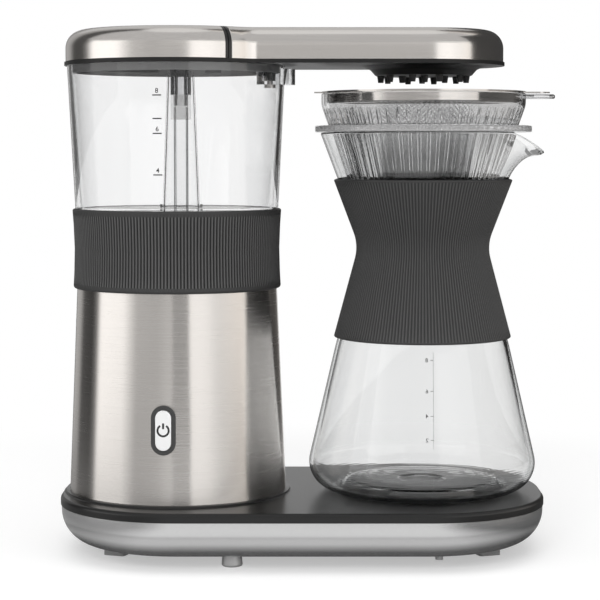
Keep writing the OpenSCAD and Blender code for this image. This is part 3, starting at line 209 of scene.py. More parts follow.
def moulded(name, level, roughness, grain=900, depth=0.02, warm=0.0, spread=0.12, **sockets):
    """Moulded plastic or rubber: a fine grain in the bump, slow drifts of shade and gloss."""
    made = Finish(name, **sockets)
    drift = made.noise(DRIFT)
    fine = made.noise((grain, grain, grain), detail=2.0)
    made.set(
        Base_Color=made.blend(drift, grey(level * (1 - spread), warm), grey(level * (1 + spread), warm)),
        Roughness=roughness + (fine - 0.5) * 0.12,
        Normal=made.bump(fine, depth))
    return made


def ribbed(name, centre, count, low, high, top, dip):
    """Silicone with upright ribs: from a height low to a height high, one shade on the ribs and a darker painted shade
    in the grooves between them.
    """
    made = Finish(name, Specular_IOR_Level=0.18)
    x, y, z = made.axes((centre * MM, 0, 0))
    turn = made.node("ShaderNodeMath", {"operation": "ARCTAN2"}, {0: y, 1: x})
    wave = (turn * (count / 2) + math.pi / 2).sin()
    # Painted shade: the grooves between the ribs are coloured darker than the ribs
    groove_shade_mask = (wave * wave - LIP_SHADE) * z.above(low * MM) * (1 - z.above(high * MM)) + LIP_SHADE
    drift = made.noise(DRIFT)
    fine = made.noise(RUBBER_GRAIN, detail=2.0)
    made.set(
        Base_Color=made.blend(groove_shade_mask, grey(top), grey(dip)),
        Roughness=0.40 + 0.14 * groove_shade_mask + 0.06 * drift,
        Normal=made.bump(fine, 0.012))
    return made


def brushed(name, along, level, roughness, warm=0.04, streak=0.10, anisotropy=0.0):
    """Brushed metal: noise drawn out along the brushing gives streaks of shade, gloss and height."""
    made = Finish(name, Metallic=1.0, Anisotropic=anisotropy,
                  Anisotropic_Rotation=ALONG_BRUSHING if anisotropy else 0.0)
    broad = made.noise(tuple(0.3 * s for s in along), detail=2.0)
    lines = made.noise(along, detail=4.0, roughness=0.7)
    share = 0.85 * lines + 0.15 * broad
    made.set(
        Base_Color=made.blend(share, grey(level * (1 - streak), warm), grey(level * (1 + streak), warm)),
        Roughness=roughness + (lines - 0.5) * 0.16,
        Normal=made.bump(lines, 0.02, 0.6))
    return made


def clear(name, ior, roughness=0.0, depth=None, density=0.0, waves=0.0, edge=0.0):
    """Clear glass or plastic: faint waves in the wall, a tint that grows with depth, and painted shade, a dark grey
    where an upright wall turns away."""
    made = Finish(name, Base_Color=grey(1.0), IOR=ior, Transmission_Weight=1.0)
    # Painted shade: a dark grey is mixed in where an upright wall turns away from the eye
    if edge:
        away = made.node("ShaderNodeLayerWeight", sockets={"Blend": 0.5}, out=1)
        turned_away = made.node("ShaderNodeMapRange", sockets={
            "Value": away, "From Min": EDGE_FROM, "From Max": EDGE_FULL})
        normal = made.node("ShaderNodeNewGeometry", out="Normal")
        lean = made.node("ShaderNodeSeparateXYZ", sockets={0: normal}, out=2)
        upright = made.node("ShaderNodeMapRange", sockets={
            "Value": lean * lean, "From Min": EDGE_FLAT ** 2, "From Max": EDGE_UPRIGHT ** 2})
        made.over(edge * turned_away * upright, EDGE_SHADE_LEVEL)
    drift = made.noise(GLASS_WAVES, detail=1.5)
    made.set(Roughness=roughness + drift * 0.01)
    if waves:
        made.set(Normal=made.bump(drift, waves))
    if depth:
        made.absorb(depth, density)
    return made


def speckled_paint(name, level, roughness):
    """Metallic paint: tiny flakes turn the normal and the shade a little, under an even gloss."""
    made = Finish(name, Metallic=0.92, Coat_Roughness=0.25, Coat_IOR=1.45)
    flakes = made.node("ShaderNodeTexVoronoi", sockets={"Vector": made.place(PAINT_FLAKES), "Scale": 1.0}, out=1)
    speck = made.node("ShaderNodeSeparateColor", sockets={0: flakes})
    drift = made.noise(PAINT_DRIFT)
    made.set(
        Base_Color=made.blend(0.6 * speck + 0.4 * drift, grey(level * 0.94), grey(level * 1.06)),
        Roughness=roughness + (speck - 0.5) * 0.06,
        Coat_Weight=0.25 + 0.1 * drift,
        Normal=made.bump(speck, 0.002, 0.3))
    return made


def woven(name):
    """Steel mesh: slanting wires in upright panels, each panel slanting the other way than the next, darker below."""
    made = Finish(name, Metallic=1.0)
    x, y, z = made.axes((CARAFE_X * MM, 0, 0))
    turn = made.node("ShaderNodeMath", {"operation": "ARCTAN2"}, {0: y, 1: x})
    slant = made.node("ShaderNodeMath", {"operation": "PINGPONG"}, {0: turn, 1: MESH_PANEL})
    wire = (slant * WIRE_TURN + z * WIRE_RISE).sin()
    fine = (z * FINE_RISE - slant * FINE_TURN).sin()
    drift = made.noise(MESH_DRIFT)
    # The mesh turns darker towards the bottom, between two heights
    low = made.node("ShaderNodeMapRange", sockets={
        "Value": z, "From Min": MESH_DARKENS_FROM * MM, "From Max": MESH_DARKEST_AT * MM})
    middle = made.node("ShaderNodeMapRange", sockets={
        "Value": x * x, "From Min": (MESH_DENSE * MM) ** 2, "From Max": (MESH_DENSE * 0.8 * MM) ** 2})
    shade = made.blend(low, grey(0.30), grey(0.05))
    on_wire = (wire + 0.3 * fine * drift).above(0.0)
    made.set(
        Base_Color=made.blend(wire * 0.4 + 0.5 + 0.1 * fine, grey(0.02), shade),
        Roughness=0.34 + 0.2 * drift,
        Alpha=0.14 - 0.10 * low + 0.40 * middle * low + (0.07 + 0.13 * middle) * on_wire,
        Normal=made.bump(wire, 0.10))
    return made


PLASTIC_TINT = (0.80, 0.81, 0.82, 1)
finishes = {
    "silver_shell": speckled_paint("silver_paint", 0.72, 0.22),
    "black_deck": moulded("black_deck_plastic", 0.008, 0.30, 1400, 0.006, Specular_IOR_Level=0.5),
    "dark_plastic": moulded("dark_plastic", 0.010, 0.45, 1100, 0.012, Specular_IOR_Level=0.3),
    "screw_steel": brushed("screw_steel", (400, 400, 400), 0.55, 0.3),
    "clear_foot": moulded("foot_rubber", 0.52, 0.30, 800, 0.01, 0.0, 0.05, Metallic=0.4),
    "plate_coating": moulded("plate_coating", 0.014, 0.30, 2200, 0.02),
    "silicone_grey": moulded("silicone_grey", 0.036, 0.50, 1500, 0.015),
    "seal_rubber": moulded("seal_rubber", 0.02, 0.6),
    "heater_alloy": brushed("heater_alloy", (300, 300, 300), 0.5, 0.42),
    "ceramic": moulded("ceramic", 0.6, 0.5, 700, 0.02, 0.04),
    "brushed_steel": brushed("brushed_steel", STEEL_ROUND, 0.74, 0.25, streak=0.13, anisotropy=1.0),
    "clear_plastic": clear("clear_plastic", 1.47, depth=PLASTIC_TINT, density=45.0, edge=0.3),
    "floor_steel": brushed("floor_steel", (60, 60, 60), 0.36, 0.16),
    "hose_silicone": moulded("hose_silicone", 0.90, 0.30, 600, 0.01, 0.04, 0.04,
                             Transmission_Weight=0.85, IOR=1.4),
    "fitting_plastic": moulded("fitting_plastic", 0.035, 0.4),
    "board_green": moulded("board_green", 0.05, 0.45),
    "bezel_grey": moulded("bezel_grey", 0.040, 0.38, 1600, 0.008),
    "button_grey": moulded("button_grey", 0.80, 0.40, 1600, 0.006, 0.0, 0.02),
    "nozzle_silicone": moulded("nozzle_silicone", 0.014, 0.5),
    "carafe_glass": clear("carafe_glass", 1.47, depth=(0.79, 0.80, 0.80, 1), density=140.0, waves=0.003,
                          edge=0.85),
    "dripper_clear": clear("dripper_clear", 1.50, depth=(0.80, 0.80, 0.81, 1), density=30.0, edge=0.5),
    "filter_steel": brushed("filter_steel", (40, 40, 900), 0.60, 0.13, streak=0.3),
    "filter_mesh": woven("filter_mesh"),
}
arm_steel = brushed("arm_steel", STEEL_LONG, 0.74, 0.19, streak=0.13)
# A pale half-clear finish, used as a painted highlight along the dripper flange's edge
flange_highlight = moulded("flange_highlight", 0.80, 0.25, 600, 0.01, 0.0, 0.04, Alpha=0.30)
coupling = moulded("coupling_silicone", 0.85, 0.40, 600, 0.01, 0.04, 0.04, Alpha=0.16)
riser_clear = clear("riser_clear", 1.14, depth=PLASTIC_TINT, density=45.0)
smoked = clear("smoked_fitting", 1.47, 0.06, depth=(0.5, 0.5, 0.52, 1), density=110.0)
housing = moulded("housing_plastic", 0.010, 0.45, 1100, 0.012, Specular_IOR_Level=0.3)
x, y, _ = housing.axes((TOWER_X * MM, 0, 0))
outer = ((x * x + y * y) ** 0.5).above(HOUSING_LIGHT_R * MM)
housing.set(Base_Color=housing.blend(outer, grey(0.26), grey(0.010)))
ink = moulded("mark_ink", 0.012, 0.5)
faint_ink = moulded("carafe_ink", 0.48, 0.5)


# Shapes

def rounded(corners, closed=False, step=6.0, longest=None, guard=0.25):
    """The path through (across, up, radius) corners: each corner is an arc of its radius, tangent to both sides.
    A point close to either end of a straight run keeps its shading flat, and a long run is cut to even lengths."""
    corner = np.array([tuple(c) + (0.0,) * (3 - len(c)) for c in corners], float)
    spot, radius = corner[:, :2], corner[:, 2]
    runs = []
    for i, (here, r) in enumerate(zip(spot, radius)):
        if r <= 0 or (not closed and i in (0, len(spot) - 1)):
            runs.append(here[None])
            continue
        back, ahead = spot[i - 1] - here, spot[(i + 1) % len(spot)] - here
        back, ahead = back / np.linalg.norm(back), ahead / np.linalg.norm(ahead)
        half = math.acos(np.clip(back @ ahead, -1, 1)) / 2
        centre = here + (back + ahead) / np.linalg.norm(back + ahead) * r / math.sin(half)
        start, stop = here + back * r / math.tan(half) - centre, here + ahead * r / math.tan(half) - centre
        a0 = math.atan2(start[1], start[0])
        sweep = (math.atan2(stop[1], stop[0]) - a0 + math.pi) % (2 * math.pi) - math.pi
        count = max(2, math.ceil(abs(math.degrees(sweep)) / step))
        a = a0 + sweep * np.linspace(0, 1, count + 1)
        runs.append(centre + r * np.stack([np.cos(a), np.sin(a)], 1))
    path = np.concatenate(runs + ([runs[0][:1]] if closed else []))
    cut = []
    for a, b in zip(path[:-1], path[1:]):
        length = np.linalg.norm(b - a)
        share = [0.0]
        if length > 4 * guard:
            share = np.concatenate([[0, guard / length], [1 - guard / length]])
            if longest and length > longest:
                even = np.linspace(0, 1, math.ceil(length / longest) + 1)[1:-1]
                share = np.concatenate([share[:2], even, share[2:]])
        cut.append(a + np.outer(share, b - a))
    return np.concatenate(cut if closed else cut + [path[-1:]])


def moved(corners, t):
    """The path t to its left: every run is shifted, corners are where shifted runs meet, and arcs keep their
    centres."""
    corner = np.array([tuple(c) + (0.0,) * (3 - len(c)) for c in corners], float)
    run = np.diff(corner[:, :2], axis=0)
    run /= np.linalg.norm(run, axis=1)[:, None]
    left = np.stack([-run[:, 1], run[:, 0]], 1)
    out = corner.copy()
    out[0, :2] += left[0] * t
    out[-1, :2] += left[-1] * t
    out[1:-1, :2] += t * (left[:-1] + left[1:]) / (1 + (left[:-1] * left[1:]).sum(1))[:, None]
    turn = np.sign(run[:-1, 0] * run[1:, 1] - run[:-1, 1] * run[1:, 0])
    out[1:-1, 2] = np.where(corner[1:-1, 2] > 0, np.maximum(corner[1:-1, 2] - t * turn, 0.05), 0)
    return out


def woven_grid(grid, round_first=False, round_second=False):
    """Points of a grid and the quads between neighbours, closed round either way."""
    n, m = grid.shape[:2]
    i = np.arange(n if round_first else n - 1)[:, None]
    j = np.arange(m if round_second else m - 1)[None]
    i2, j2 = (i + 1) % n, (j + 1) % m
    quads = np.stack(np.broadcast_arrays(i * m + j, i2 * m + j, i2 * m + j2, i * m + j2), -1).reshape(-1, 4)
    return grid.reshape(-1, 3), quads, []


def turned(path, sides=192, centre=CARAFE_X, closed=True, shape=None):
    """A turned surface: the path's radius and height carried round a vertical axis. Shape may change both by angle."""
    a = np.linspace(0, 2 * np.pi, sides, endpoint=False)[:, None] if np.isscalar(sides) else sides[:, None]
    r, z = np.broadcast_arrays(path[None, :, 0], a)[0], np.broadcast_arrays(path[None, :, 1], a)[0]
    if shape:
        r, z = shape(r, z, a)
    return woven_grid(np.stack([centre + r * np.cos(a), r * np.sin(a), z], -1), True, closed)


def lofted(plan, levels, place=None):
    """A solid over outlines: plan(inset) is the outline at each (inset, height) level, and flat faces close the
    ends."""
    rows = [np.column_stack([plan(d), np.full(len(plan(d)), h)]) for d, h in levels]
    grid = np.stack(rows, 1)
    if place:
        grid = place(grid)
    points, quads, _ = woven_grid(grid, True)
    n, m = grid.shape[:2]
    ring = np.arange(n) * m
    return points, quads, [ring[::-1], ring + m - 1]


def piece(name, shapes, finish, body, replaced=(), smooth=True):
    """One mesh from several shapes. Points that fall together are joined, so seams and poles close."""
    start = np.cumsum([0] + [len(s[0]) for s in shapes])
    points = np.concatenate([s[0] for s in shapes])
    quads = np.concatenate([s[1] + k for s, k in zip(shapes, start)])
    _, first, joined = np.unique(np.round(points, 4), axis=0, return_index=True, return_inverse=True)
    joined = joined.reshape(-1)
    quads = joined[quads]
    again = quads == np.roll(quads, -1, axis=1)
    whole, pole = quads[again.sum(1) == 0], again.sum(1) == 1
    faces = whole.tolist() + quads[pole][~again[pole]].reshape(-1, 3).tolist()
    faces += [joined[f + k].tolist() for s, k in zip(shapes, start) for f in s[2]]
    mesh = bpy.data.meshes.new(name)
    mesh.from_pydata((points[first] * MM).tolist(), [], faces)
    if smooth:
        mesh.shade_smooth()
    mesh.materials.append(finish.material)
    made = bpy.data.objects.new(name, mesh)
    bpy.context.scene.collection.objects.link(made)
    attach(made, body)
    if replaced:
        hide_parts(*replaced)
    return made


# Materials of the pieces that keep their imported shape

slot_of = {part["node"]: part["material_slot"] for part in frame["record"]["subparts"]}
own_finish = {"lid_cap": arm_steel, "top_housing": housing, "riser_fitting": smoked,
              "riser_tube": riser_clear, "riser_shroud": riser_clear, "riser_coupling": coupling}
for name, node in nodes.items():
    node.data.materials.clear()
    node.data.materials.append(own_finish.get(name, finishes[slot_of[name]]).material)


WELD_GAP = 0.002


def evened(node, corner=25):
    """Shading that runs smoothly over the narrow strips of a packed rounding and stays sharp at its corners."""
    node.modifiers.new("weld", "WELD").merge_threshold = WELD_GAP * MM
    node.modifiers.new("corners", "EDGE_SPLIT").split_angle = math.radians(corner)
    node.modifiers.new("even", "WEIGHTED_NORMAL").mode = "FACE_AREA_WITH_ANGLE"


for name in ("base_shell", "base_deck", "lid_cap"):
    evened(nodes[name])


# The ribbed sleeves

SLEEVE_IN, SLEEVE_OUT, SLEEVE_LOW, SLEEVE_TOP = 67.347, 69.947, 177.2, 230.2
SLEEVE_RIBS, SLEEVE_LIP_LOW, SLEEVE_LIP_TOP, SLEEVE_RAMP, SLEEVE_SKIN = 200, 3.4, 3.6, 0.5, 0.9
GROOVE_T, GROOVE_POWER, SIDES_A_RIB, SHADE_IN = 0.6, 3, 8, 0.2
sleeve_section = rounded([
    (SLEEVE_IN, SLEEVE_LOW, 0.3),
    (SLEEVE_OUT - 0.3, SLEEVE_LOW, 1.8),
    (SLEEVE_OUT - 1.8, (SLEEVE_LOW + SLEEVE_TOP) / 2, 250),
    (SLEEVE_OUT, SLEEVE_TOP, 1.2),
    (SLEEVE_IN, SLEEVE_TOP, 0.3)], True, 15, 6)


def grooves(z, a, ribs, low, high, ramp):
    """Depth of the grooves between upright ribs: a power of the cosine round the axis, between two heights."""
    lips = np.clip((z - low) / ramp, 0, 1) * np.clip((high - z) / ramp, 0, 1)
    return GROOVE_T * np.abs(np.cos(ribs / 2 * a)) ** GROOVE_POWER * lips


sleeve_ribs = SLEEVE_LOW + SLEEVE_LIP_LOW, SLEEVE_TOP - SLEEVE_LIP_TOP


def on_tower_sleeve(r, z, a):
    """The ribs lie only on the outside, between the lips."""
    return r - grooves(z, a, SLEEVE_RIBS, *sleeve_ribs, SLEEVE_RAMP) * (r > SLEEVE_IN + SLEEVE_SKIN), z


piece("tower_sleeve_ribbed", [turned(sleeve_section, SIDES_A_RIB * SLEEVE_RIBS, TOWER_X, True, on_tower_sleeve)],
      ribbed("tower_rubber", TOWER_X, SLEEVE_RIBS, sleeve_ribs[0] + SHADE_IN, sleeve_ribs[1] - SHADE_IN, 0.10, 0.008),
      "base", ["tower_sleeve"])

# Outside of the glass as (across, up, radius): the bottom's step, foot ring, bowl, waist and rim
GLASS = [(0, 3.2), (13, 3.2, 4), (16.5, 4.6, 4), (50, 4.6, 2.5), (54.5, 0, 2.5), (81.2, 0, 19),
         (58.4, 98, 120), (40.4, 165.2, 31), (69, 240.7)]
GLASS_WALL, RIM_ROUND = 2.5, 1.1
GRIP_LOW, GRIP_TOP, GRIP_T, SLIP = 103.0, 210.0, 2.4, 0.3
GRIP_RIBS, GRIP_LIP_LOW, GRIP_LIP_TOP, GRIP_RAMP, GRIP_SKIN = 168, 1.6, 1.8, 0.6, 0.3
GRIP_ROUND_OUT, GRIP_ROUND_IN = 0.8, 0.3


def along(a, b, h):
    """Radius at height h on the straight run from a to b."""
    return a[0] + (b[0] - a[0]) * (h - a[1]) / (b[1] - a[1])


grip_way = [(along(*GLASS[-3:-1], GRIP_LOW), GRIP_LOW), GLASS[-2], (along(*GLASS[-2:], GRIP_TOP), GRIP_TOP)]
grip_in = moved(grip_way, -SLIP)
grip_out = moved(grip_way, -SLIP - GRIP_T)
grip_out[[0, 2], 2] = GRIP_ROUND_OUT
grip_in[[0, 2], 2] = GRIP_ROUND_IN
grip_section = rounded(np.concatenate([grip_out, grip_in[::-1]]), True, 5, 5)
grip_mid = rounded(moved(grip_way, -SLIP - GRIP_T / 2), False, 5, 5)


grip_ribs = GRIP_LOW + GRIP_LIP_LOW, GRIP_TOP - GRIP_LIP_TOP


def on_grip(r, z, a):
    """The ribs lie on the outside of the middle line, between the lips."""
    outside = r > np.interp(z, grip_mid[:, 1], grip_mid[:, 0]) + GRIP_SKIN
    return r - grooves(z, a, GRIP_RIBS, *grip_ribs, GRIP_RAMP) * outside, z + BENCH


piece("carafe_grip", [turned(grip_section, SIDES_A_RIB * GRIP_RIBS, CARAFE_X, True, on_grip)],
      ribbed("carafe_rubber", CARAFE_X, GRIP_RIBS, BENCH + grip_ribs[0] + SHADE_IN, BENCH + grip_ribs[1] - SHADE_IN,
             0.075, 0.03),
      "carafe", ["carafe_sleeve"])


# The carafe's glass

SPOUT_TURN, SPOUT_H, SPOUT_REACH, SPOUT_DROP = math.radians(40), 32.0, 12.4, 12.5
RIM = GLASS[-1][1]
glass_in = moved(GLASS, GLASS_WALL)
lean = (glass_in[-2, :2] - glass_in[-1, :2])
glass_in[-1, :2] += lean * (glass_in[-1, 1] - RIM) / -lean[1]
glass_in[-1, 2] = RIM_ROUND
glass_out = [tuple(g) + (0.0,) * (3 - len(g)) for g in GLASS[:-1]] + [(*GLASS[-1], RIM_ROUND)]
glass_section = rounded(np.concatenate([glass_out, glass_in[::-1]]), False, 5, 3.5)


def with_spout(r, z, a):
    """Near the rim and round angle 0 the glass is drawn outwards and its edge drops."""
    turn = np.abs((a + np.pi) % (2 * np.pi) - np.pi)
    side = np.where(turn < SPOUT_TURN, np.cos(np.pi / 2 * turn / SPOUT_TURN) ** 2, 0)
    k = np.clip((z - RIM + SPOUT_H) / SPOUT_H, 0, 1)
    rise = k * k * (3 - 2 * k)
    return r + SPOUT_REACH * side * rise ** 1.2, z - SPOUT_DROP * side * rise ** 3 + BENCH


piece("carafe_bowl", [turned(glass_section, 240, CARAFE_X, False, with_spout)],
      finishes["carafe_glass"], "carafe", ["carafe_glass"])


# The dripper

OUTLET_R, OUTLET_LOW, DRIP_FLOOR, CUP_R, CUP_TOP = 14, 220.3, 229.3, 68.2, 306.8
FLANGE_R, FLANGE_LOW, FLANGE_TOP, CONE_LOW_R, CONE_TOP_R = 72.3, 281.3, 285.3, 61, 63.4
DRIP_WALL, DRIP_ROUND = 2.0, 0.7
RIB_N, RIB_T, RIB_HALF, RIB_FLANK = 60, 0.9, 1.2, 0.3
RIB_LOW, RIB_TOP, RIB_RISE, RIB_FALL = 233, 294.8, 4, 1.5
RIB_R = 58  # radius at which the widths of the ribs are measured
drip_way = [(OUTLET_R, OUTLET_LOW), (OUTLET_R, DRIP_FLOOR, 3), (43.6, DRIP_FLOOR, 4), (CONE_LOW_R, FLANGE_LOW),
            (CONE_TOP_R, FLANGE_TOP), (CUP_R, 298.8, 14), (CUP_R, CUP_TOP)]
drip_in = moved(drip_way, DRIP_WALL)
flange = [(CONE_LOW_R, FLANGE_LOW, 0.8), (FLANGE_R, FLANGE_LOW, 1.2), (FLANGE_R, FLANGE_TOP, 1.2),
          (CONE_TOP_R, FLANGE_TOP, 0.8)]
drip_out = drip_way[:3] + flange + drip_way[5:]
drip_corners = [tuple(c) + (0.0,) * (3 - len(c)) for c in drip_out]
drip_corners[0] = (*drip_corners[0][:2], DRIP_ROUND)
drip_corners[-1] = (*drip_corners[-1][:2], DRIP_ROUND)
drip_in[[0, -1], 2] = DRIP_ROUND
drip_in[3:5, 2] = 3
drip_section = rounded(np.concatenate([drip_corners, drip_in[::-1]]), True, 8, 5)
drip_mid = rounded(moved(drip_way, DRIP_WALL / 2), False, 8, 5)
drip_mid = drip_mid[drip_mid[:, 1] > DRIP_FLOOR + 0.1]
rib_offsets = np.array([-3.0, -1.9, -1.25, -1.15, -0.95, -0.85, -0.4, 0.4, 0.85, 0.95, 1.15, 1.25, 1.9]) / RIB_R
rib_angles = (np.arange(RIB_N)[:, None] * 2 * np.pi / RIB_N + rib_offsets[None]).ravel()


def inner_ribs(r, z, a):
    """Sixty ribs stand out of the inside of the cone: a smooth bump over the distance from the rib's middle."""
    pitch = 2 * np.pi / RIB_N
    off = np.abs((a + pitch / 2) % pitch - pitch / 2) * RIB_R
    k = np.clip((RIB_HALF - off) / RIB_FLANK, 0, 1)
    bump = k * k * (3 - 2 * k)
    inside = (r < np.interp(z, drip_mid[:, 1], drip_mid[:, 0])) & (z > RIB_LOW)
    ends = np.clip((RIB_TOP - z) / RIB_FALL, 0, 1) * np.clip((z - RIB_LOW) / RIB_RISE, 0, 1)
    return r - RIB_T * bump * inside * ends, z


HANDLE_W, HANDLE_END, HANDLE_ROOT, HANDLE_LOW, HANDLE_T = 12.0, 76.0, 67.5, 303.3, 3


def tongue(d):
    """The handle's outline drawn in by d: along the bowl's wall, out, and round the end."""
    w = HANDLE_W - d
    a = np.linspace(-np.pi / 2, np.pi / 2, 40)
    end = np.stack([HANDLE_END + w * np.cos(a), w * np.sin(a)], 1)
    y = np.linspace(w, -w, 16)
    wall = np.stack([np.sqrt(HANDLE_ROOT ** 2 - y ** 2), y], 1)
    return np.concatenate([end, wall]) + (CARAFE_X, 0)


handle_edge = rounded([(3, 0), (0, 0, 1.2), (0, HANDLE_T, 1.2), (3, HANDLE_T)], False, 15)
handle_levels = [(d, HANDLE_LOW + h) for d, h in handle_edge]
piece("dripper_ribbed", [turned(drip_section, rib_angles, CARAFE_X, True, inner_ribs), lofted(tongue, handle_levels)],
      finishes["dripper_clear"], "dripper", ["dripper"])
BEAD_OVER, BEAD_DEPTH = 0.2, 1.1  # how far the flange's painted highlight stands proud of it, and reaches in
# Painted highlight: a pale half-clear bead round the flange, for light carried along the clear flange to its edge
bead_low, bead_top = FLANGE_LOW - BEAD_OVER, FLANGE_TOP + BEAD_OVER
bead_in, bead_out = FLANGE_R - BEAD_DEPTH, FLANGE_R + BEAD_OVER
highlight_bead = rounded([(bead_in, bead_low, 0.5), (bead_out, bead_low, 0.6), (bead_out, bead_top, 0.6),
                       (bead_in, bead_top, 0.5)], True, 8, 5)
piece("dripper_flange_edge", [turned(highlight_bead)], flange_highlight, "dripper")


# The arm's steel cover

CAP_R, ARM_L, ARM_HALF, ARM_FILLET = 73.6, 165.07, 53.0, 15.0
Z_CAP, Z_TOP, CAP_EDGE, STEEL_T = 327.4, 348.4, 12.0, 0.8
SEAM_R, SEAM_GAP, SEAM_EDGING = 142.7, 0.3, 2
ARM_SEAM = SEAM_R - SEAM_GAP - SEAM_EDGING
fillet_y = ARM_HALF + ARM_FILLET
fillet_x = math.sqrt((CAP_R + ARM_FILLET) ** 2 - fillet_y ** 2)
fillet_a = math.atan2(fillet_y, fillet_x)


def bow(centre, r, a0, a1, n):
    """Points along an arc."""
    a = np.linspace(a0, a1, n)
    return np.stack([centre[0] + r * np.cos(a), centre[1] + r * np.sin(a)], 1)


def arm_front(d):
    """The front half of the arm's outline drawn in by d, from the seam to the tip of the arm."""
    r = CAP_R - d
    meets = math.acos((ARM_L ** 2 + r ** 2 - ARM_SEAM ** 2) / (2 * ARM_L * r))
    run = bow((fillet_x, -fillet_y), ARM_FILLET + d, math.pi - fillet_a, math.pi / 2, 16)
    end = bow((ARM_L, 0), ARM_HALF - d, -math.pi / 2, 0, 48)
    straight = run[-1] + np.linspace(0, 1, 16)[1:-1, None] * (end[0] - run[-1])
    return np.concatenate([bow((0, 0), r, -meets, -fillet_a, 12)[:-1], run, straight, end])


def saddle(front, heights, seam_at, seam_r, across=24):
    """A cover over a mirrored outline: up the front edge, over the fillet, straight across and down the back. The row
    at the seam lies on the seam's circle."""
    side = np.concatenate([front, np.broadcast_to(heights[:, None, None], front.shape[:2] + (1,))], 2)
    top = np.repeat(side[-1][None], across, 0)
    top[..., 1] *= np.linspace(1, -1, across + 2)[1:-1, None]
    top[:, seam_at, 0] = ARM_L - np.sqrt(seam_r ** 2 - top[:, seam_at, 1] ** 2)
    back = side[::-1] * (1, -1, 1)
    grid = np.concatenate([side, top, back]).transpose(1, 0, 2)
    return woven_grid(grid + (TOWER_X, 0, 0))


cap_levels = rounded([(0, Z_CAP), (0, Z_TOP, CAP_EDGE), (CAP_EDGE + 0.8, Z_TOP)], False, 6, 4)
arm = piece("arm_hood", [saddle(np.stack([arm_front(d) for d, _ in cap_levels]), cap_levels[:, 1], 0, ARM_SEAM)],
            arm_steel, "base", ["arm_cover"])
sheet = arm.modifiers.new("sheet", "SOLIDIFY")
sheet.thickness = STEEL_T * MM
sheet.offset = -1


# Marks

def stroke(path, width, closed=False):
    """A flat band of that width along a path of points."""
    way = np.gradient(path, axis=0) if not closed else np.roll(path, -1, 0) - np.roll(path, 1, 0)
    way /= np.linalg.norm(way, axis=1)[:, None]
    side = np.stack([-way[:, 1], way[:, 0]], 1) * width / 2
    return np.stack([path + side, path - side], 1)


NUMERAL_H = 3.0
DIGIT_SHARE, DIGIT_BOLD = 0.7, 0.012  # height of a digit and thickening, as shares of the letters' size


def numeral(text, height):
    """A numeral as flat faces, centred across and standing on zero."""
    curve = bpy.data.curves.new(text, "FONT")
    curve.body = text
    curve.size = height / DIGIT_SHARE
    curve.offset = DIGIT_BOLD * curve.size
    curve.align_x = "CENTER"
    holder = bpy.data.objects.new(text, curve)
    bpy.context.scene.collection.objects.link(holder)
    mesh = bpy.data.meshes.new_from_object(holder.evaluated_get(bpy.context.evaluated_depsgraph_get()))
    points = np.zeros(len(mesh.vertices) * 3)
    mesh.vertices.foreach_get("co", points)
    faces = [np.array(f.vertices) for f in mesh.polygons]
    bpy.data.objects.remove(holder)
    bpy.data.curves.remove(curve)
    bpy.data.meshes.remove(mesh)
    return points.reshape(-1, 3)[:, :2], faces


def on_wall(flat, centre, turn, height, radius, out=0.04):
    """Flat points wrapped on a round wall: across becomes angle, up becomes height. Out is the gap to the wall."""
    z = height + flat[..., 1]
    r = radius(z) + out
    a = turn + flat[..., 0] / r
    return np.stack([centre + r * np.cos(a), r * np.sin(a), z], -1)


TANK_LOW_R, TANK_TOP_R, TANK_LOW, TANK_H = 68, 72.7, 230.5, 94.5


def tank_r(z):
    """Outer radius of the tank at a height."""
    return TANK_LOW_R + (z - TANK_LOW) * (TANK_TOP_R - TANK_LOW_R) / TANK_H


def marks(levels, centre, turn, radius, tick, rise, line=None):
    """A numeral at each level, raised over a tick (start, stop, thickness), and perhaps a line (across, low, high)."""
    def band(a, b, width):
        path = np.linspace(a, b, 2 + int(np.abs(np.subtract(a, b)).max()))
        return woven_grid(on_wall(stroke(path, width)[:, ::-1], centre, turn, 0, radius))

    shapes = [band((tick[0], z), (tick[1], z), tick[2]) for _, z in levels]
    if line:
        shapes.append(band((line[0], line[1]), (line[0], line[2]), line[3]))
    for text, z in levels:
        if text:
            flat, faces = numeral(text, NUMERAL_H)
            points = on_wall(flat + (0, rise), centre, turn, z, radius)
            shapes.append((points, np.zeros((0, 4), int), faces))
    return shapes


piece("tank_marks",
      marks([("8", 303.9), ("", 289.1), ("6", 279.7), ("4", 253.4)], TOWER_X, math.radians(-96.5), tank_r,
            (-2.9, 2.9, 0.75), 1.35),
      ink, "base", smooth=False)


def bowl_r(z):
    """Outer radius of the carafe's bowl at a height."""
    return along(*GLASS[-4:-2], z - BENCH)


piece("carafe_marks",
      marks([("8", 121.0), ("6", 98.2), ("4", 79.7), ("2", 61.7)], CARAFE_X, math.radians(83.3), bowl_r,
            (-4.8, -2.6, 0.4), -1.5, (-4.8, 54, 127, 0.22)),
      faint_ink, "carafe", smooth=False)


# The power sign on the button

BUTTON_Z, BUTTON_R, BUTTON_OUT = 90.0, 70.926, 1.9
BUTTON_TURN, BUTTON_LEAN = math.radians(-4), math.radians(2.449)


def on_button(flat):
    """Flat points (across, up, out) laid on the button's leaning face, turned round the tower."""
    x, y, out = flat[..., 0], flat[..., 1], flat[..., 2]
    z = BUTTON_Z + y * math.cos(BUTTON_LEAN) + out * math.sin(BUTTON_LEAN)
    reach = BUTTON_R + out * math.cos(BUTTON_LEAN) - y * math.sin(BUTTON_LEAN)
    c, s = math.cos(BUTTON_TURN), math.sin(BUTTON_TURN)
    return np.stack([TOWER_X + x * c + reach * s, x * s - reach * c, z], -1)


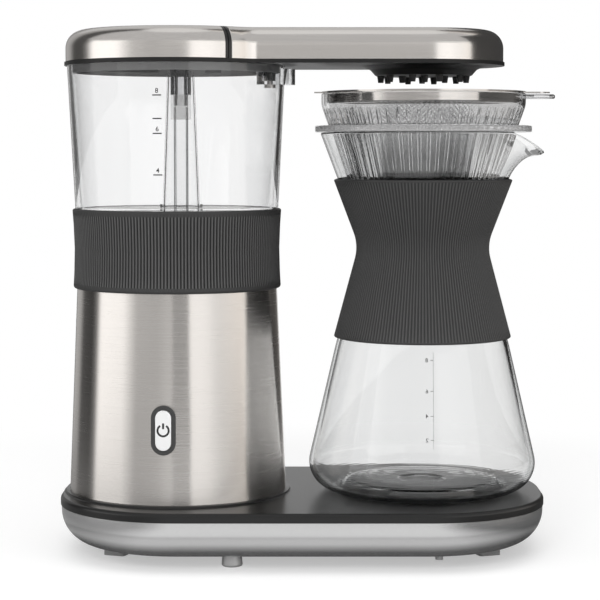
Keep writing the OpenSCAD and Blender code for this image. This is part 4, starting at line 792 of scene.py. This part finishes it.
SIGN_R, SIGN_STROKE, SIGN_OPEN, SIGN_OUT = 3.6, 1.3, 32, 0.03
sign_arc = bow((0, 0), SIGN_R, math.radians(90 + SIGN_OPEN), math.radians(450 - SIGN_OPEN), 48)
sign_bar = np.stack([np.zeros(5), np.linspace(1.0, 4.7, 5)], 1)


def on_face(band):
    """A flat band laid just over the button's face."""
    out = np.full(band.shape[:2] + (1,), BUTTON_OUT + SIGN_OUT)
    return woven_grid(on_button(np.concatenate([band, out], 2)[:, ::-1]))


sign = [on_face(stroke(path, SIGN_STROKE)) for path in (sign_arc, sign_bar)]
piece("power_sign", sign, ink, "button", smooth=False)


# Floor, light and camera

def lit_backdrop(tree, other):
    """1 for what the camera, reflections and refractions see, and other for the rest."""
    path = tree.nodes.new("ShaderNodeLightPath")
    seen = path.outputs["Is Camera Ray"]
    for key in ("Is Glossy Ray", "Is Transmission Ray"):
        both = tree.nodes.new("ShaderNodeMath")
        both.operation = "MAXIMUM"
        tree.links.new(seen, both.inputs[0])
        tree.links.new(path.outputs[key], both.inputs[1])
        seen = both.outputs[0]
    level = tree.nodes.new("ShaderNodeMapRange")
    level.inputs["To Min"].default_value = other
    tree.links.new(seen, level.inputs["Value"])
    return level.outputs[0]


SKY_FILL, TABLE_FILL, FAR_FILL = 0.45, 0.4, 0.55  # light that the backdrop and floor give to matt surfaces
world = bpy.data.worlds.new("studio")
bpy.context.scene.world = world
world.use_nodes = True
sky = world.node_tree.nodes["Background"]
sky.inputs["Color"].default_value = (1, 1, 1, 1)
world.node_tree.links.new(lit_backdrop(world.node_tree, SKY_FILL), sky.inputs["Strength"])


def square(half, z):
    """The corners of a level square round the origin."""
    return [(-half, -half, z), (half, -half, z), (half, half, z), (-half, half, z)]


def staged(name, points, faces, finish, camera=True, glossy=True, transmission=True, shadow=False):
    """A surface of the studio, which isn't part of the object."""
    mesh = bpy.data.meshes.new(name)
    mesh.from_pydata(points, [], faces)
    mesh.materials.append(finish.material)
    made = bpy.data.objects.new(name, mesh)
    bpy.context.scene.collection.objects.link(made)
    made.visible_camera, made.visible_glossy, made.visible_transmission = camera, glossy, transmission
    made.visible_diffuse = made.visible_shadow = shadow
    return made


FLOOR_NEAR, FLOOR_FAR = 0.36, 0.62  # distances between which the table turns into plain white
TABLE_GREY, TABLE_GLOW, TABLE_HALF = 0.62, 0.45, 6
table = Finish("table", "ShaderNodeBsdfDiffuse", Color=grey(TABLE_GREY))
near = table.tree.nodes.new("ShaderNodeAddShader")
lift = table.tree.nodes.new("ShaderNodeEmission")
lift.inputs["Color"].default_value = grey(TABLE_GLOW)
table.put(lift.inputs["Strength"], Value(table, lit_backdrop(table.tree, TABLE_FILL)))
table.tree.links.new(table.shader.outputs[0], near.inputs[0])
table.tree.links.new(lift.outputs[0], near.inputs[1])
far = table.tree.nodes.new("ShaderNodeEmission")
table.put(far.inputs["Strength"], Value(table, lit_backdrop(table.tree, FAR_FILL)))
away = table.node("ShaderNodeVectorMath", {"operation": "LENGTH"}, {0: table.place()}, out=1)
share = table.node("ShaderNodeMapRange", {"interpolation_type": "SMOOTHSTEP"},
                   {"Value": away, "From Min": FLOOR_NEAR, "From Max": FLOOR_FAR})
both = table.tree.nodes.new("ShaderNodeMixShader")
table.put(both.inputs[0], share)
table.tree.links.new(near.outputs[0], both.inputs[1])
table.tree.links.new(far.outputs[0], both.inputs[2])
table.tree.links.new(both.outputs[0], table.end.inputs["Surface"])
staged("table", square(TABLE_HALF, 0), [(0, 1, 2, 3)], table, glossy=False, shadow=True)

SCREEN_REACH, SCREEN_LOW, SCREEN_TOP = 6.0, -4.5, 18.0
SCREEN_PEAK, SCREEN_STEP = 1.4, 5
WARM_FROM, WARM, COOL = 60, 0.05, 0.01  # bearing from which the studio is warmer, and both tints


def screen(name, a0, a1, low, high, finish, reach=SCREEN_REACH, centre=0.0, **seen):
    """An upright studio screen round the object, from one bearing to another. Bearing 0 is in front, 90 to the
    right."""
    count = max(2, int(abs(a1 - a0) / SCREEN_STEP))
    a = np.radians(np.linspace(a0, a1, count + 1))
    ring = np.stack([centre + reach * np.sin(a), -reach * np.cos(a)], 1)
    points = [(x, y, z) for x, y in ring for z in (low, high)]
    faces = [(2 * i, 2 * i + 2, 2 * i + 3, 2 * i + 1) for i in range(count)]
    return staged(name, points, faces, finish, camera=False, **seen)


def level_card(name, z, half, finish, **seen):
    """A level square card round the origin."""
    return staged(name, square(half, z), [(0, 1, 2, 3)], finish, camera=False, **seen)


def panel(name, level):
    """A plain glowing panel."""
    return Finish(name, "ShaderNodeEmission", Color=grey(level))


# Bearing and level of the studio round the object, as its metal sees it
ROUND = [(-180, 0.20), (-164, 0.18), (-154, 0.46), (-138, 0.40), (-128, 0.08), (-107, 0.05), (-99, 0.24), (-93, 1.38),
         (-60, 1.38), (-44, 0.62), (-20, 0.52), (-6, 0.58), (14, 0.64), (17, 1.30), (36, 1.30), (46, 1.16), (76, 1.12),
         (94, 1.12), (112, 0.90), (126, 0.16), (140, 0.06), (152, 0.08), (164, 0.16), (180, 0.20)]
wrap = Finish("studio_round", "ShaderNodeEmission", Strength=SCREEN_PEAK)
east, north, _ = wrap.axes()
bearing = wrap.node("ShaderNodeMath", {"operation": "ARCTAN2"}, {0: east, 1: 0.0 - north})
wrap.set(Color=wrap.node("ShaderNodeValToRGB", {"stops": [
    ((a + 180) / 360, grey(level / SCREEN_PEAK, WARM if a > WARM_FROM else COOL)) for a, level in ROUND]},
    {0: bearing / (2 * math.pi) + 0.5}))
screen("studio_front", -110, 110, SCREEN_LOW, SCREEN_TOP, wrap)
screen("studio_back", 110, 250, SCREEN_LOW, SCREEN_TOP, wrap, transmission=False)
screen("flag_front", -3, 15, SCREEN_LOW, 0.22, panel("flag_front", 0.03), 5.5, transmission=False)
screen("flag_arm", 58, 165, 0.31, 0.50, panel("flag_arm", 0.05), 0.17, CARAFE_X * MM, transmission=False)
screen("sky_front", -105, 105, 2.4, SCREEN_TOP, panel("sky_front", 0.55), 5.8, transmission=False)
screen("sky_back", 150, 215, 3.0, SCREEN_TOP, panel("sky_back", 0.6), 5.9, transmission=False)
screen("low_back", 166, 194, SCREEN_LOW, 1.7, panel("low_back", 0.9), 5.9, transmission=False)
screen("edge_left", 203, 298, -1.0, 4.0, panel("edge_left", 0.02), 4.0, glossy=False)
screen("edge_right", 62, 165, -1.0, 4.0, panel("edge_right", 0.02), 4.0, glossy=False)
screen("upper_back", 110, 250, 0.58, 4.0, panel("upper_back", 0.25), 3.9, glossy=False)
level_card("roof", SCREEN_TOP, SCREEN_REACH, panel("roof", 0.8), transmission=False)
level_card("pit", SCREEN_LOW, SCREEN_REACH, panel("pit", 0.5), transmission=False)

# The floor close to the base, as the base's paint sees it: a painted shadow, dark under the base and white further out
APRON_HALF, APRON_REACH = 0.08, 0.45
apron = Finish("apron", "ShaderNodeEmission")
across, y, _ = apron.axes()
x = across.math("MAXIMUM", across.math("ABSOLUTE", across) - APRON_HALF, 0.0)
out = (x * x + y * y) ** 0.5
spread = apron.node("ShaderNodeValToRGB", {"stops": [
    (d / APRON_REACH, grey(level)) for d, level in
    ((0.080, 0.08), (0.090, 0.34), (0.098, 0.62), (0.112, 0.62), (0.118, 0.46), (0.126, 0.80), (0.20, 0.82))]},
    {0: out / APRON_REACH})
# Painted shade: the floor seen in the paint darkens towards either end of the base, most on the right
sides = apron.node("ShaderNodeValToRGB", {"stops": [
    (0.5 + d / APRON_REACH / 2, grey(level)) for d, level in
    ((-0.26, 0.30), (-0.19, 0.42), (-0.12, 1.0), (0.11, 1.0), (0.15, 0.6), (0.19, 0.12))]},
    {0: across / APRON_REACH / 2 + 0.5})
apron.set(Color=apron.node("ShaderNodeMix", {"data_type": "RGBA", "blend_type": "MULTIPLY"},
                           {"Factor": 1.0, "A": spread, "B": sides}, out=2))
level_card("apron", -0.001, APRON_REACH, apron, transmission=False)


def softbox(name, where, aim, size, power):
    """A square soft lamp that reflections don't show."""
    lamp = bpy.data.lights.new(name, "AREA")
    lamp.size = size
    lamp.energy = power
    made = bpy.data.objects.new(name, lamp)
    bpy.context.scene.collection.objects.link(made)
    made.location = where
    way = np.array(aim, float) - where
    made.rotation_euler = (math.acos(-way[2] / np.linalg.norm(way)), 0, math.atan2(way[1], way[0]) - math.pi / 2)
    made.visible_glossy = made.visible_transmission = False
    return made


softbox("lamp_over", (0.0, -0.2, 1.5), (0, 0, 0.1), 1.4, 11)
softbox("lamp_front", (-0.2, -1.5, 0.75), (0, 0, 0.15), 0.8, 13)

EYE, EYE_DIP, EYE_LENS = (-5.39, -1293.1, 267.8), 4.395, 115.36
lens = bpy.data.cameras.new("camera")
lens.lens = EYE_LENS
lens.sensor_width = 36
lens.clip_end = 20
eye = bpy.data.objects.new("camera", lens)
bpy.context.scene.collection.objects.link(eye)
eye.location = [v * MM for v in EYE]
eye.rotation_euler = (math.radians(90 - EYE_DIP), 0, 0)
bpy.context.scene.camera = eye
bpy.context.scene.view_settings.view_transform = "Standard"
